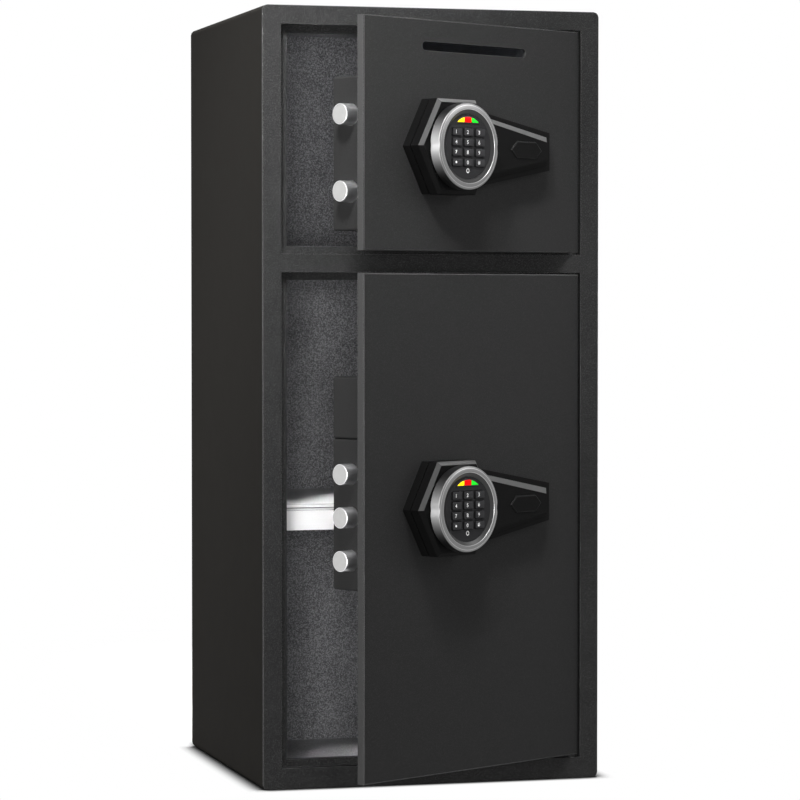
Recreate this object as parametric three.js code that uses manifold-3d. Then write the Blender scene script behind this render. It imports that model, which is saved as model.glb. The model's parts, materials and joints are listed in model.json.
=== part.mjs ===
// Drop safe: a steel cabinet with two hinged doors, each locked by a keypad knob that draws its bolts.
// Millimetres. X to the right, Y to the back, Z up. The origin is the middle of the underside.

import * as THREE from "three";
import { mergeVertices } from "three/addons/utils/BufferGeometryUtils.js";
import Module from "manifold-3d";

const wasm = await Module();
wasm.setup();

// General clearances
const seatGap = 0.3;
const overrun = 5;

// Facets of the round forms
const roundSides = 24;
const boltSides = 28;
const knobSides = 56;
const smallSides = 16;
const slotEndSteps = 5;
const foldSteps = 3;
const hingeCornerSteps = 4;
const keyCornerSteps = 1;
const archSteps = 10;
const edgeSteps = 2;

// Cabinet
const bodyWidth = 450;
const bodyDepth = 436;
const bodyHeight = 1000;
const wall = 2.5;
const foldRadius = 7;
const anchorHoleRadius = 6;
const anchorInsetX = 60;
const anchorInsetY = 70;

// Front frame
const stileWidth = 24.5;
const topRail = 24;
const midRail = 23;
const bottomRail = 27;
const upperOpeningHeight = 292;
const facePlate = 3;
const faceBevel = 1.5;
const frameSheet = 2;
const doorStopGap = 1;
const stopWidth = 10;
const stopFlange = 8;

// Back panel, divider and linings
const backRecess = 10;
const backFlangeSheet = 2;
const dividerSheet = 2;
const liningThickness = 3;

// Shelf
const shelfHeight = 360;
const shelfSetback = 80;
const shelfSheet = 1.5;
const shelfSideDepth = 16;
const shelfLipDepth = 34.5;
const shelfLipSheet = 2.5;
const shelfBandHeight = 5;
const shelfGrooveHeight = 3;
const shelfGrooveDepth = 1.2;
const shelfRunningGap = 1;
const ledgeWidth = 14;
const ledgeSheet = 2;

// Doors
const doorAjar = 30;
const doorThickness = 12;
const doorPlate = 4;
const doorReturn = 3;
const doorBevel = 1;
const doorGapFree = 1.5;
const doorGapAbove = 2.5;
const doorGapBelow = 2.5;
const lowerDoorSillGap = 4;
const swingClearance = 1;
const hingeCornerShare = 0.375;
const hingePinRadius = 3;
const hingeCollarRadius = 5;
const hingePinRoot = 5;
const pinClearance = 0.4;

// Deposit slot and the chute behind it
const slotLength = 190;
const slotHeight = 11;
const slotBelowDoorTop = 33;
const chuteSheet = 1.5;
const chuteOverlap = 12;
const chuteHeadroom = 8;
const chuteStep = 1;
const chuteFlange = 10;
const chuteReach = 62;
const chuteRise = 3;
const hoodReach = 44;
const chuteThroat = 13;

// Lock cover behind each door, and its flange
const coverInset = 15;
const coverWidth = 268;
const coverReach = 57;
const coverSheet = 1.5;
const coverCornerRadius = 3;
const coverBevel = 1.5;
const coverFlange = 8;
const batterySeam = 0.4;

// Bolts and their bar
const boltRadius = 13;
const boltChamfer = 1;
const boltLength = 55;
const boltProtrusion = 19;
const boltSetback = 26;
const boltHoleClearance = 0.5;
const barThickness = 6;
const barDepth = 20;
const barEndMargin = 16;
const tongueThickness = 4;
const tongueHeight = 23;
const tongueEndMargin = 14;
const tongueRise = 1;

// Spindle, crank and the angle that the knob turns
const knobTurn = 90;
const lockInset = 135.5;
const spindleRadius = 8;
const spindleClearance = 0.5;
const crankDiscRadius = 20;
const crankDiscThickness = 4;
const crankDiscGap = 2;
const crankPinRadius = 3.5;
const crankPinPlay = 0.7;
const crankPinOverlap = 1.5;
const slotEndPlay = 1;

// Solenoid beside the spindle
const solenoidOffset = 38.5;
const solenoidRadius = 12;
const solenoidHeight = 28;
const solenoidDrop = 14;
const solenoidFrame = 2;
const plungerRadius = 3.5;
const plungerPlay = 0.6;
const plungerGap = 1;

// Lock housing: a hexagon with an arm that carries the key cover
const housingAcrossFlats = 118;
const housingDepth = 31.5;
const baseLayerDepth = 12.5;
const layerGroove = 1.5;
const housingBevel = 4.5;
const armRootX = 40;
const armRootHalf = 50;
const armEndX = 189;
const armEndHalf = 24;
const ridgeDepth = 25;
const ridgeBevel = 8;
const ridgeInset = 6;
const ridgeEndInset = 11;

// Key cover and override cylinder
const keyCoverOffset = 130.5;
const keyCoverLength = 58;
const keyCoverHeight = 21.8;
const keyCoverThickness = 3.5;
const keyCoverBevel = 1;
const keyPocketDepth = 2.2;
const cylinderRadius = 9;
const cylinderInset = 0.5;
const cylinderTailReach = 18;
const cylinderTailWidth = 10;
const cylinderTailThickness = 3;
const cylinderTailGap = 12;
const keywayWidth = 2;
const keywayHeight = 10;
const keywayDepth = 8;

// Knob, keypad plate, keys and status window
const knobRadius = 53.5;
const knobRearRadius = 52;
const knobRearTaper = 1.5;
const knobDepth = 17;
const knobRunningGap = 0.8;
const knobWeb = 3;
const knobRimRadius = 50.8;
const knobRimDrop = 1.2;
const knobFaceRadius = 45.4;
const knobFaceRecess = 2.8;
const knobLedge = 1.2;
const scallopRadius = 16;
const scallopDepth = 1.4;
const padRadius = 40.7;
const padThickness = 2.7;
const keyColumns = 3;
const keyWidth = 16.8;
const keyHeight = 10.4;
const keyPitchX = 20.6;
const keyPitchZ = 12.5;
const keyTopRow = 17.5;
const keyProud = 2.2;
const keyCorner = 1;
const keyBevel = 0.5;
const keyFlange = 0.6;
const keyFlangeThickness = 1;
const keyTravel = 1.2;
const keyFloorGap = 0.5;
const windowWidth = 40;
const windowHeight = 10;
const windowEndHeight = 2.5;
const windowRise = 28;
const windowProud = 0.4;

// Heights in the two locks: spindles from their openings, bolts from the spindle, covers past the end bolts
const upperSpindleDrop = 160.5;
const upperBoltRises = [38, -56.5];
const upperCoverAbove = 47.5;
const upperCoverBelow = 48;
const lowerSpindleShare = 0.5347;
const lowerBoltRises = [45, -8.5, -62];
const lowerCoverAbove = 43;
const lowerCoverBelow = 37.5;
const batteryBoxHeight = 77;

// Places worked out from the sizes above
const halfWidth = bodyWidth / 2;
const front = -bodyDepth / 2;
const rear = bodyDepth / 2;
const innerHalf = halfWidth - wall;
const innerRadius = foldRadius - wall;
const rebateDepth = doorThickness + doorStopGap;
const stopRear = front + rebateDepth + frameSheet;
const frameRear = stopRear + stopFlange;
const backFace = rear - backRecess - wall;
const insideFront = frameRear + seatGap;
const insideRear = backFace - seatGap;

const lowerOpening = {
  left: -halfWidth + stileWidth,
  right: halfWidth - stileWidth,
  bottom: bottomRail,
  top: bodyHeight - topRail - upperOpeningHeight - midRail,
};
const upperOpening = {
  left: lowerOpening.left,
  right: lowerOpening.right,
  bottom: bodyHeight - topRail - upperOpeningHeight,
  top: bodyHeight - topRail,
};
const dividerTop = upperOpening.bottom + stopWidth - liningThickness - 2 * seatGap;

function lockPlaces(spindle, boltRises, coverAbove, coverBelow) {
  const bolts = boltRises.map((rise) => spindle + rise);
  return {
    spindle,
    bolts,
    coverTop: Math.max(...bolts) + coverAbove,
    coverBottom: Math.min(...bolts) - coverBelow,
  };
}

const upperLock = lockPlaces(upperOpening.top - upperSpindleDrop, upperBoltRises, upperCoverAbove,
  upperCoverBelow);
const lowerSpindle = lowerOpening.bottom + lowerSpindleShare * (lowerOpening.top - lowerOpening.bottom);
const lowerLock = lockPlaces(lowerSpindle, lowerBoltRises, lowerCoverAbove, lowerCoverBelow);

const pivotInset = doorThickness / 2;
const pivotSetback = doorThickness / 2;
const doorGapHinge = Math.hypot(pivotInset, pivotSetback) - pivotInset + swingClearance;
const doorRight = upperOpening.right - doorGapHinge;
const doorLeft = upperOpening.left + doorGapFree;
const pivot = { x: doorRight - pivotInset, y: front + pivotSetback };
const plateRear = front + doorPlate;
const coverLeft = doorLeft + coverInset;
const coverRight = coverLeft + coverWidth;
const coverRear = front + doorThickness + coverReach;
const spindleX = doorLeft + lockInset;
const boltY = front + doorThickness + boltSetback;
const boltTip = coverLeft - boltProtrusion;
const boltEnd = boltTip + boltLength;
const tongueFront = boltY - barDepth / 2;
const tongueRear = tongueFront + tongueThickness;
const crankRadius = boltProtrusion / (2 * Math.sin(THREE.MathUtils.degToRad(knobTurn / 2)));
const keyCylinderX = spindleX + keyCoverOffset;
const housingFront = front - housingDepth;
const ridgeFront = front - ridgeDepth;
const pocketFloor = ridgeFront + keyPocketDepth;
const knobRear = housingFront - knobRunningGap;
const knobFront = knobRear - knobDepth;
const webFront = knobRear - knobWeb;
const padFront = knobFront + knobFaceRecess;
const padRear = padFront + padThickness;

// Finishes
const finishes = {
  blackCoat: { color: 0x2c2b2a, roughness: 0.6, metalness: 0.2 },
  doorCoat: { color: 0x333233, roughness: 0.55, metalness: 0.2 },
  felt: { color: 0x3c3c3e, roughness: 1, metalness: 0 },
  shelfGrey: { color: 0xc9c9c9, roughness: 0.5, metalness: 0.3 },
  zincSheet: { color: 0x8d9093, roughness: 0.4, metalness: 0.9 },
  chrome: { color: 0xdadada, roughness: 0.15, metalness: 1 },
  satinChrome: { color: 0xc4c4c4, roughness: 0.3, metalness: 1 },
  housingBlack: { color: 0x262525, roughness: 0.45, metalness: 0.1 },
  padBlack: { color: 0x1e1e1f, roughness: 0.5, metalness: 0 },
  keyBlack: { color: 0x2b2b2d, roughness: 0.6, metalness: 0 },
  lightWindow: { color: 0xcc2211, roughness: 0.2, metalness: 0 },
  brass: { color: 0xb08d57, roughness: 0.35, metalness: 1 },
};
const materials = {};
for (const [name, settings] of Object.entries(finishes)) {
  materials[name] = new THREE.MeshStandardMaterial(settings);
}

// Turns a closed geometry into a solid that can be joined and cut.
function toSolid(geometry) {
  const bare = geometry.clone();
  bare.deleteAttribute("normal");
  bare.deleteAttribute("uv");
  const merged = mergeVertices(bare);
  const vertProperties = new Float32Array(merged.attributes.position.array);
  const triVerts = new Uint32Array(merged.index.array);
  return new wasm.Manifold(new wasm.Mesh({ numProp: 3, vertProperties, triVerts }));
}

// Turns a finished solid into a named mesh.
function toMesh(name, solid, material) {
  const data = solid.getMesh();
  const geometry = new THREE.BufferGeometry();
  geometry.setAttribute("position", new THREE.BufferAttribute(new Float32Array(data.vertProperties), 3));
  geometry.setIndex(new THREE.BufferAttribute(new Uint32Array(data.triVerts), 1));
  geometry.computeVertexNormals();
  const mesh = new THREE.Mesh(geometry, material);
  mesh.name = name;
  return mesh;
}

function join(first, ...others) {
  return others.reduce((sum, solid) => sum.add(solid), first);
}

function cut(first, ...others) {
  return others.reduce((rest, solid) => rest.subtract(solid), first);
}

// A block between two corners.
function block(x0, x1, y0, y1, z0, z1) {
  const geometry = new THREE.BoxGeometry(x1 - x0, y1 - y0, z1 - z0);
  geometry.translate((x0 + x1) / 2, (y0 + y1) / 2, (z0 + z1) / 2);
  return toSolid(geometry);
}

// Points of a rectangle's outline, with its corners rounded where a radius is given.
function rectangle(left, right, bottom, top, radius = 0, steps = foldSteps) {
  const corners = [
    [right, bottom, -90, -1, 1],
    [right, top, 0, -1, -1],
    [left, top, 90, 1, -1],
    [left, bottom, 180, 1, 1],
  ];
  const points = [];
  for (const [x, z, start, towardX, towardZ] of corners) {
    if (radius <= 0) {
      points.push(new THREE.Vector2(x, z));
      continue;
    }
    for (let i = 0; i <= steps; i += 1) {
      const angle = THREE.MathUtils.degToRad(start + (90 * i) / steps);
      const centreX = x + towardX * radius;
      const centreZ = z + towardZ * radius;
      const corner = new THREE.Vector2(radius * Math.cos(angle), radius * Math.sin(angle));
      points.push(corner.add(new THREE.Vector2(centreX, centreZ)));
    }
  }
  return points;
}

function polygon(pairs) {
  return pairs.map(([x, z]) => new THREE.Vector2(x, z));
}

// Extrudes an outline drawn in X and Z from y0 back to y1, with a bevel round both ends if asked.
function alongY(points, y0, y1, bevel = 0, bevelSteps = 1) {
  const geometry = new THREE.ExtrudeGeometry(new THREE.Shape(points), {
    depth: y1 - y0 - 2 * bevel,
    bevelEnabled: bevel > 0,
    bevelThickness: bevel,
    bevelSize: bevel,
    bevelOffset: -bevel,
    bevelSegments: bevelSteps,
  });
  geometry.rotateX(Math.PI / 2);
  geometry.translate(0, y1 - bevel, 0);
  return toSolid(geometry);
}

// As alongY, with the bevel round the front end only.
function bevelledFront(points, y0, y1, bevel, bevelSteps = 1) {
  const long = alongY(points, y0, y1 + 2 * bevel + overrun, bevel, bevelSteps);
  const bounds = new THREE.Box2().setFromPoints(points);
  const keep = block(bounds.min.x - overrun, bounds.max.x + overrun, y0 - overrun, y1,
    bounds.min.y - overrun, bounds.max.y + overrun);
  return long.intersect(keep);
}

// As alongY, with the bevel round the rear end only.
function bevelledRear(points, y0, y1, bevel, bevelSteps = 1) {
  const long = alongY(points, y0 - 2 * bevel - overrun, y1, bevel, bevelSteps);
  const bounds = new THREE.Box2().setFromPoints(points);
  const keep = block(bounds.min.x - overrun, bounds.max.x + overrun, y0, y1 + overrun,
    bounds.min.y - overrun, bounds.max.y + overrun);
  return long.intersect(keep);
}

// Extrudes an outline drawn in X and Y from z0 up to z1.
function alongZ(points, z0, z1) {
  const shape = new THREE.Shape(points);
  const geometry = new THREE.ExtrudeGeometry(shape, { depth: z1 - z0, bevelEnabled: false });
  geometry.translate(0, 0, z0);
  return toSolid(geometry);
}

// Extrudes an outline drawn in Y and Z from x0 to x1.
function alongX(points, x0, x1) {
  const shape = new THREE.Shape(points);
  const geometry = new THREE.ExtrudeGeometry(shape, { depth: x1 - x0, bevelEnabled: false });
  geometry.rotateX(Math.PI / 2);
  geometry.rotateZ(Math.PI / 2);
  geometry.translate(x0, 0, 0);
  return toSolid(geometry);
}

function rodY(radius, y0, y1, x, z, sides = roundSides) {
  const geometry = new THREE.CylinderGeometry(radius, radius, y1 - y0, sides);
  geometry.translate(x, (y0 + y1) / 2, z);
  return toSolid(geometry);
}

function rodZ(radius, z0, z1, x, y, sides = roundSides) {
  const geometry = new THREE.CylinderGeometry(radius, radius, z1 - z0, sides);
  geometry.rotateX(Math.PI / 2);
  geometry.translate(x, y, (z0 + z1) / 2);
  return toSolid(geometry);
}

function rodX(radius, x0, x1, y, z, sides = roundSides) {
  const geometry = new THREE.CylinderGeometry(radius, radius, x1 - x0, sides);
  geometry.rotateZ(Math.PI / 2);
  geometry.translate((x0 + x1) / 2, y, z);
  return toSolid(geometry);
}

// Turns a profile of [radius, y] pairs about an axis along Y through x and z.
function turned(profile, x, z, sides) {
  const geometry = new THREE.LatheGeometry(polygon(profile), sides);
  geometry.translate(x, 0, z);
  return toSolid(geometry);
}

function openingPrism(opening, margin, y0, y1) {
  return block(opening.left - margin, opening.right + margin, y0, y1,
    opening.bottom - margin, opening.top + margin);
}

// Cabinet: the sheet wrap with its anchor holes and shelf ledges
function anchorHoles(radius, z0, z1) {
  const holes = [];
  for (const x of [-halfWidth + anchorInsetX, halfWidth - anchorInsetX]) {
    for (const y of [front + anchorInsetY, rear - anchorInsetY]) {
      holes.push(rodZ(radius, z0, z1, x, y));
    }
  }
  return holes;
}

const ledgeFront = front + shelfSetback + shelfLipSheet + shelfRunningGap;
const ledgeTop = shelfHeight - shelfSideDepth;
const ledgeReach = innerHalf - 2 * seatGap - liningThickness - ledgeWidth;

function ledge(side, margin) {
  const outer = side * (innerHalf + wall / 2);
  const inner = side * (ledgeReach - margin);
  return block(Math.min(outer, inner), Math.max(outer, inner), ledgeFront - margin,
    insideRear - liningThickness + margin, ledgeTop - ledgeSheet - margin, ledgeTop + margin);
}

function makeShell() {
  const outline = rectangle(-halfWidth, halfWidth, 0, bodyHeight, foldRadius);
  const outside = alongY(outline, front + facePlate, rear);
  const inside = alongY(rectangle(-innerHalf, innerHalf, wall, bodyHeight - wall, innerRadius),
    front, rear + overrun);
  const wrap = cut(outside, inside, ...anchorHoles(anchorHoleRadius, -overrun, wall + overrun));
  return join(wrap, ledge(-1, 0), ledge(1, 0));
}

// Front frame: the face plate, and round each opening a rebate, a door stop and its rear flange
function makeFrontFrame() {
  const outline = rectangle(-halfWidth, halfWidth, 0, bodyHeight, foldRadius);
  let frame = bevelledFront(outline, front, front + facePlate, faceBevel, edgeSteps);
  for (const opening of [lowerOpening, upperOpening]) {
    const rebate = openingPrism(opening, frameSheet, front + facePlate / 2, stopRear);
    const flange = openingPrism(opening, frameSheet - stopWidth, stopRear - frameSheet, frameRear);
    frame = join(frame, rebate, flange);
  }
  const pinHole = hingePinRadius + pinClearance;
  for (const opening of [lowerOpening, upperOpening]) {
    frame = cut(frame,
      openingPrism(opening, 0, front - overrun, front + rebateDepth),
      openingPrism(opening, -stopWidth, front, frameRear + overrun),
      rodZ(pinHole, opening.top - overrun, opening.top + overrun, pivot.x, pivot.y),
      rodZ(pinHole, opening.bottom - overrun, opening.bottom + overrun, pivot.x, pivot.y));
  }
  return frame;
}

// Back panel: a pan set into the wrap, its flanges facing back
function makeBackPanel() {
  const reach = innerHalf - seatGap;
  const low = wall + seatGap;
  const high = bodyHeight - wall - seatGap;
  const outside = alongY(rectangle(-reach, reach, low, high, innerRadius), backFace, rear - seatGap);
  const hollow = alongY(rectangle(-reach + backFlangeSheet, reach - backFlangeSheet, low + backFlangeSheet,
    high - backFlangeSheet, innerRadius), backFace + wall, rear + overrun);
  return cut(outside, hollow);
}

// Divider: the upper compartment's floor, folded down behind the middle rail
const dividerFoldBottom = lowerOpening.top - stopWidth + frameSheet;

function makeDivider() {
  const reach = innerHalf - seatGap;
  const sheet = block(-reach, reach, insideFront, insideRear, dividerTop - dividerSheet, dividerTop);
  const fold = block(-reach, reach, insideFront, insideFront + dividerSheet, dividerFoldBottom, dividerTop);
  return join(sheet, fold);
}

// Linings: felt on the five inner faces of each compartment
function makeUpperLining() {
  const reach = innerHalf - seatGap;
  const low = dividerTop + seatGap;
  const high = bodyHeight - wall - seatGap;
  const outer = alongY(rectangle(-reach, reach, low, high, innerRadius), insideFront, insideRear);
  const inner = alongY(rectangle(-reach + liningThickness, reach - liningThickness, low + liningThickness,
    high - liningThickness, innerRadius), insideFront - overrun, insideRear - liningThickness);
  return cut(outer, inner);
}

function makeLowerLining() {
  const reach = innerHalf - seatGap;
  const low = wall + seatGap;
  const high = dividerTop - dividerSheet - seatGap;
  const outer = alongY(rectangle(-reach, reach, low, high, innerRadius), insideFront, insideRear);
  const inner = alongY(rectangle(-reach + liningThickness, reach - liningThickness, low + liningThickness,
    high - liningThickness, innerRadius), insideFront - overrun, insideRear - liningThickness);
  const fold = block(-halfWidth, halfWidth, front, insideFront + dividerSheet + seatGap,
    dividerFoldBottom - seatGap, bodyHeight);
  return cut(outer, inner, fold, ledge(-1, seatGap), ledge(1, seatGap),
    ...anchorHoles(anchorHoleRadius, -overrun, wall + seatGap + liningThickness + overrun));
}

// Shelf: a folded tray with a deep front lip in two bands
function makeShelf() {
  const reach = innerHalf - 2 * seatGap - liningThickness - shelfRunningGap;
  const start = front + shelfSetback;
  const end = insideRear - liningThickness - shelfRunningGap;
  const low = ledgeTop + seatGap;
  const outside = block(-reach, reach, start, end, low, shelfHeight);
  const hollow = block(-reach + shelfSheet, reach - shelfSheet, start + shelfLipSheet, end - shelfSheet,
    low - overrun, shelfHeight - shelfSheet);
  const lip = block(-reach, reach, start, start + shelfLipSheet, shelfHeight - shelfLipDepth, shelfHeight);
  const grooveTop = shelfHeight - shelfBandHeight;
  const groove = block(-halfWidth, halfWidth, start - overrun, start + shelfGrooveDepth,
    grooveTop - shelfGrooveHeight, grooveTop);
  return cut(join(cut(outside, hollow), lip), groove);
}

const cabinet = new THREE.Group();
cabinet.add(toMesh("cabinet_shell", makeShell(), materials.blackCoat));
cabinet.add(toMesh("front_frame", makeFrontFrame(), materials.blackCoat));
cabinet.add(toMesh("back_panel", makeBackPanel(), materials.blackCoat));
cabinet.add(toMesh("divider_panel", makeDivider(), materials.blackCoat));
cabinet.add(toMesh("upper_lining", makeUpperLining(), materials.felt));
cabinet.add(toMesh("lower_lining", makeLowerLining(), materials.felt));
cabinet.add(toMesh("shelf", makeShelf(), materials.shelfGrey));

// Door panel: a plate with its edges folded back, a solid hinge stile and a pin at each end
function makeDoorPanel(opening, sillGap) {
  const bottom = opening.bottom + sillGap;
  const top = opening.top - doorGapAbove;
  const back = front + doorThickness;
  const hingeRadius = doorThickness * hingeCornerShare;
  const elevation = alongY(rectangle(doorLeft, doorRight, bottom, top), front, back, doorBevel);
  const hingeCorner = [];
  for (let i = 0; i <= hingeCornerSteps; i += 1) {
    const angle = (Math.PI / 2) * (i / hingeCornerSteps);
    hingeCorner.push([doorRight - hingeRadius + hingeRadius * Math.cos(angle),
      back - hingeRadius + hingeRadius * Math.sin(angle)]);
  }
  const planOutline = polygon([[doorLeft, front], [doorRight, front], ...hingeCorner, [doorLeft, back]]);
  const plan = alongZ(planOutline, bottom, top);
  const hollow = block(doorLeft + doorReturn, pivot.x - pivotInset, plateRear, back + overrun,
    bottom + doorReturn, top - doorReturn);
  const upperRoot = top - hingePinRoot;
  const lowerRoot = bottom + hingePinRoot;
  const upperPin = rodZ(hingePinRadius, upperRoot, opening.top + frameSheet, pivot.x, pivot.y);
  const lowerPin = rodZ(hingePinRadius, opening.bottom - frameSheet, lowerRoot, pivot.x, pivot.y);
  const collar = rodZ(hingeCollarRadius, opening.bottom + seatGap, lowerRoot, pivot.x, pivot.y);
  return join(cut(elevation.intersect(plan), hollow), upperPin, lowerPin, collar);
}

function lockHoles(spindleZ) {
  return [
    rodY(spindleRadius + spindleClearance, front - overrun, plateRear + overrun, spindleX, spindleZ),
    rodY(cylinderRadius + spindleClearance, front - overrun, plateRear + overrun, keyCylinderX, spindleZ),
  ];
}

// Deposit slot with round ends, centred on the upper door
const doorMiddle = (doorLeft + doorRight) / 2;
const slotHeightAboveFloor = upperOpening.top - doorGapAbove - slotBelowDoorTop;

function depositSlot() {
  const half = slotLength / 2;
  const outline = rectangle(doorMiddle - half, doorMiddle + half, slotHeightAboveFloor - slotHeight / 2,
    slotHeightAboveFloor + slotHeight / 2, slotHeight / 2 - seatGap, slotEndSteps);
  return alongY(outline, front - overrun, plateRear + overrun);
}

// Chute: a slide from the slot over the lock cover, under a hood that keeps fingers and hooks out
function makeChute(lock) {
  const left = doorMiddle - slotLength / 2 - chuteOverlap;
  const right = doorMiddle + slotLength / 2 + chuteOverlap;
  const start = plateRear + seatGap;
  const slideTop = slotHeightAboveFloor - slotHeight / 2 - chuteStep;
  const slideEnd = { y: start + chuteReach, z: lock.coverTop + chuteRise + chuteSheet };
  const slideFall = (slideTop - slideEnd.z) / chuteReach;
  const hoodTop = slotHeightAboveFloor + slotHeight / 2 + chuteHeadroom;
  const hoodEnd = { y: start + hoodReach, z: slideTop - slideFall * hoodReach + chuteThroat };
  const hoodFall = (hoodTop - hoodEnd.z) / hoodReach;
  const outside = alongX(polygon([
    [start, slideTop - chuteSheet],
    [slideEnd.y, slideEnd.z - chuteSheet],
    [slideEnd.y, slideEnd.z + chuteThroat / 2],
    [hoodEnd.y, hoodEnd.z + chuteSheet],
    [start, hoodTop + chuteSheet],
  ]), left, right);
  const passage = alongX(polygon([
    [start - overrun, slideTop + slideFall * overrun],
    [slideEnd.y + overrun, slideEnd.z - slideFall * overrun],
    [slideEnd.y + overrun, hoodEnd.z - hoodFall * (slideEnd.y + overrun - hoodEnd.y)],
    [start - overrun, hoodTop + hoodFall * overrun],
  ]), left + chuteSheet, right - chuteSheet);
  const upperFlange = block(left, right, start, start + chuteSheet, hoodTop, hoodTop + chuteFlange);
  const lowerFlange = block(left, right, start, start + chuteSheet, slideTop - chuteSheet - chuteFlange,
    slideTop - chuteSheet / 2);
  return join(cut(outside, passage), upperFlange, lowerFlange);
}

// Lock cover: a pressed box over the bolt work, with flanges above and below against the door plate
function makeCover(bottom, top, boltHeights, flangeBelow, flangeAbove) {
  const start = plateRear + seatGap;
  const outline = rectangle(coverLeft, coverRight, bottom, top, coverCornerRadius);
  const outside = bevelledRear(outline, start, coverRear, coverBevel, edgeSteps);
  const flange = block(coverLeft + coverCornerRadius, coverRight - coverCornerRadius, start,
    start + coverSheet, bottom - flangeBelow, top + flangeAbove);
  const inner = rectangle(coverLeft + coverSheet, coverRight - coverSheet, bottom + coverSheet,
    top - coverSheet, coverCornerRadius - coverSheet);
  const hollow = bevelledRear(inner, start - overrun, coverRear - coverSheet, coverBevel / 2, edgeSteps);
  const holes = boltHeights.map((z) => rodX(boltRadius + boltHoleClearance, coverLeft - overrun,
    coverLeft + coverSheet + overrun, boltY, z));
  return cut(join(outside, flange), hollow, ...holes);
}

// Bolt: a round bar with a chamfered end
function makeBolt(z) {
  const profile = polygon([[0, 0], [boltRadius, 0], [boltRadius, boltLength - boltChamfer],
    [boltRadius - boltChamfer, boltLength], [0, boltLength]]);
  const geometry = new THREE.LatheGeometry(profile, boltSides);
  geometry.rotateZ(Math.PI / 2);
  geometry.translate(boltEnd, boltY, z);
  return toSolid(geometry);
}

// Bolt bar: an upright that carries the bolts, and a tongue with the crank pin's slot
function makeBoltBar(lock) {
  const barLeft = boltEnd + seatGap;
  const low = Math.min(...lock.bolts) - barEndMargin;
  const high = Math.max(...lock.bolts) + barEndMargin;
  const bar = block(barLeft, barLeft + barThickness, tongueFront, tongueFront + barDepth, low, high);
  const tongueBottom = lock.spindle + tongueRise;
  const tongue = block(barLeft, spindleX + tongueEndMargin - crankRadius / 2, tongueFront, tongueRear,
    tongueBottom, tongueBottom + tongueHeight);
  const halfTurn = THREE.MathUtils.degToRad(knobTurn / 2);
  const pinX = spindleX - boltProtrusion / 2;
  const reach = crankPinRadius + crankPinPlay;
  const lowEnd = lock.spindle + crankRadius * Math.cos(halfTurn) - crankPinRadius - slotEndPlay;
  const highEnd = lock.spindle + crankRadius + crankPinRadius + slotEndPlay;
  const cutFront = tongueFront - overrun;
  const cutRear = tongueRear + overrun;
  const pinSlot = block(pinX - reach, pinX + reach, cutFront, cutRear, lowEnd, highEnd);
  const plungerX = spindleX - solenoidOffset;
  const notchReach = plungerRadius + plungerPlay;
  const notch = block(plungerX - notchReach, plungerX + notchReach, cutFront, cutRear,
    tongueBottom - overrun, tongueBottom + plungerRadius + plungerPlay);
  return cut(join(bar, tongue), pinSlot, notch);
}

// Spindle: the knob's shaft, with a crank disc and pin that push the bolt bar
function makeSpindle(z) {
  const discRear = tongueFront - crankDiscGap;
  const discFront = discRear - crankDiscThickness;
  const shaft = rodY(spindleRadius, knobRear + seatGap, discFront + crankDiscThickness / 2, spindleX, z);
  const disc = rodY(crankDiscRadius, discFront, discRear, spindleX, z);
  const halfTurn = THREE.MathUtils.degToRad(knobTurn / 2);
  const pin = rodY(crankPinRadius, discFront, tongueRear + crankPinOverlap,
    spindleX - crankRadius * Math.sin(halfTurn), z + crankRadius * Math.cos(halfTurn), smallSides);
  return join(shaft, disc, pin);
}

// Solenoid: a coil in a folded frame, with its plunger drawn back under the tongue
function makeSolenoid(z) {
  const x = spindleX - solenoidOffset;
  const y = (tongueFront + tongueRear) / 2;
  const top = z - solenoidDrop;
  const bottom = top - solenoidHeight;
  const half = solenoidRadius + solenoidFrame;
  const coil = rodZ(solenoidRadius, bottom, top, x, y);
  const start = plateRear + seatGap;
  const back = block(x - half, x + half, start, start + solenoidFrame, bottom, top);
  const head = block(x - half, x + half, start, y + half, top - solenoidFrame, top);
  const foot = block(x - half, x + half, start, y + half, bottom, bottom + solenoidFrame);
  const plunger = rodZ(plungerRadius, bottom, z + tongueRise - plungerGap, x, y, smallSides);
  return join(coil, back, head, foot, plunger);
}

// Lock housing: two hexagonal layers with a groove between, and the ridged arm
function hexagon(acrossFlats) {
  const half = acrossFlats / 2;
  const point = acrossFlats / Math.sqrt(3);
  return [[-point, 0], [-point / 2, -half], [point / 2, -half],
    [point, 0], [point / 2, half], [-point / 2, half]];
}

function armOutline(inset, endInset) {
  const rootHalf = armRootHalf - inset;
  const endHalf = armEndHalf - inset;
  const end = armEndX - endInset;
  return [[armRootX, -rootHalf], [end, -endHalf], [end, endHalf], [armRootX, rootHalf]];
}

function keyCoverOutline(margin) {
  const half = keyCoverLength / 2 + margin;
  const tall = keyCoverHeight / 2 + margin;
  return [[-half, 0], [-half + tall, -tall], [half - tall, -tall],
    [half, 0], [half - tall, tall], [-half + tall, tall]];
}

function placed(pairs, x, z) {
  return polygon(pairs.map(([dx, dz]) => [x + dx, z + dz]));
}

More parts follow.
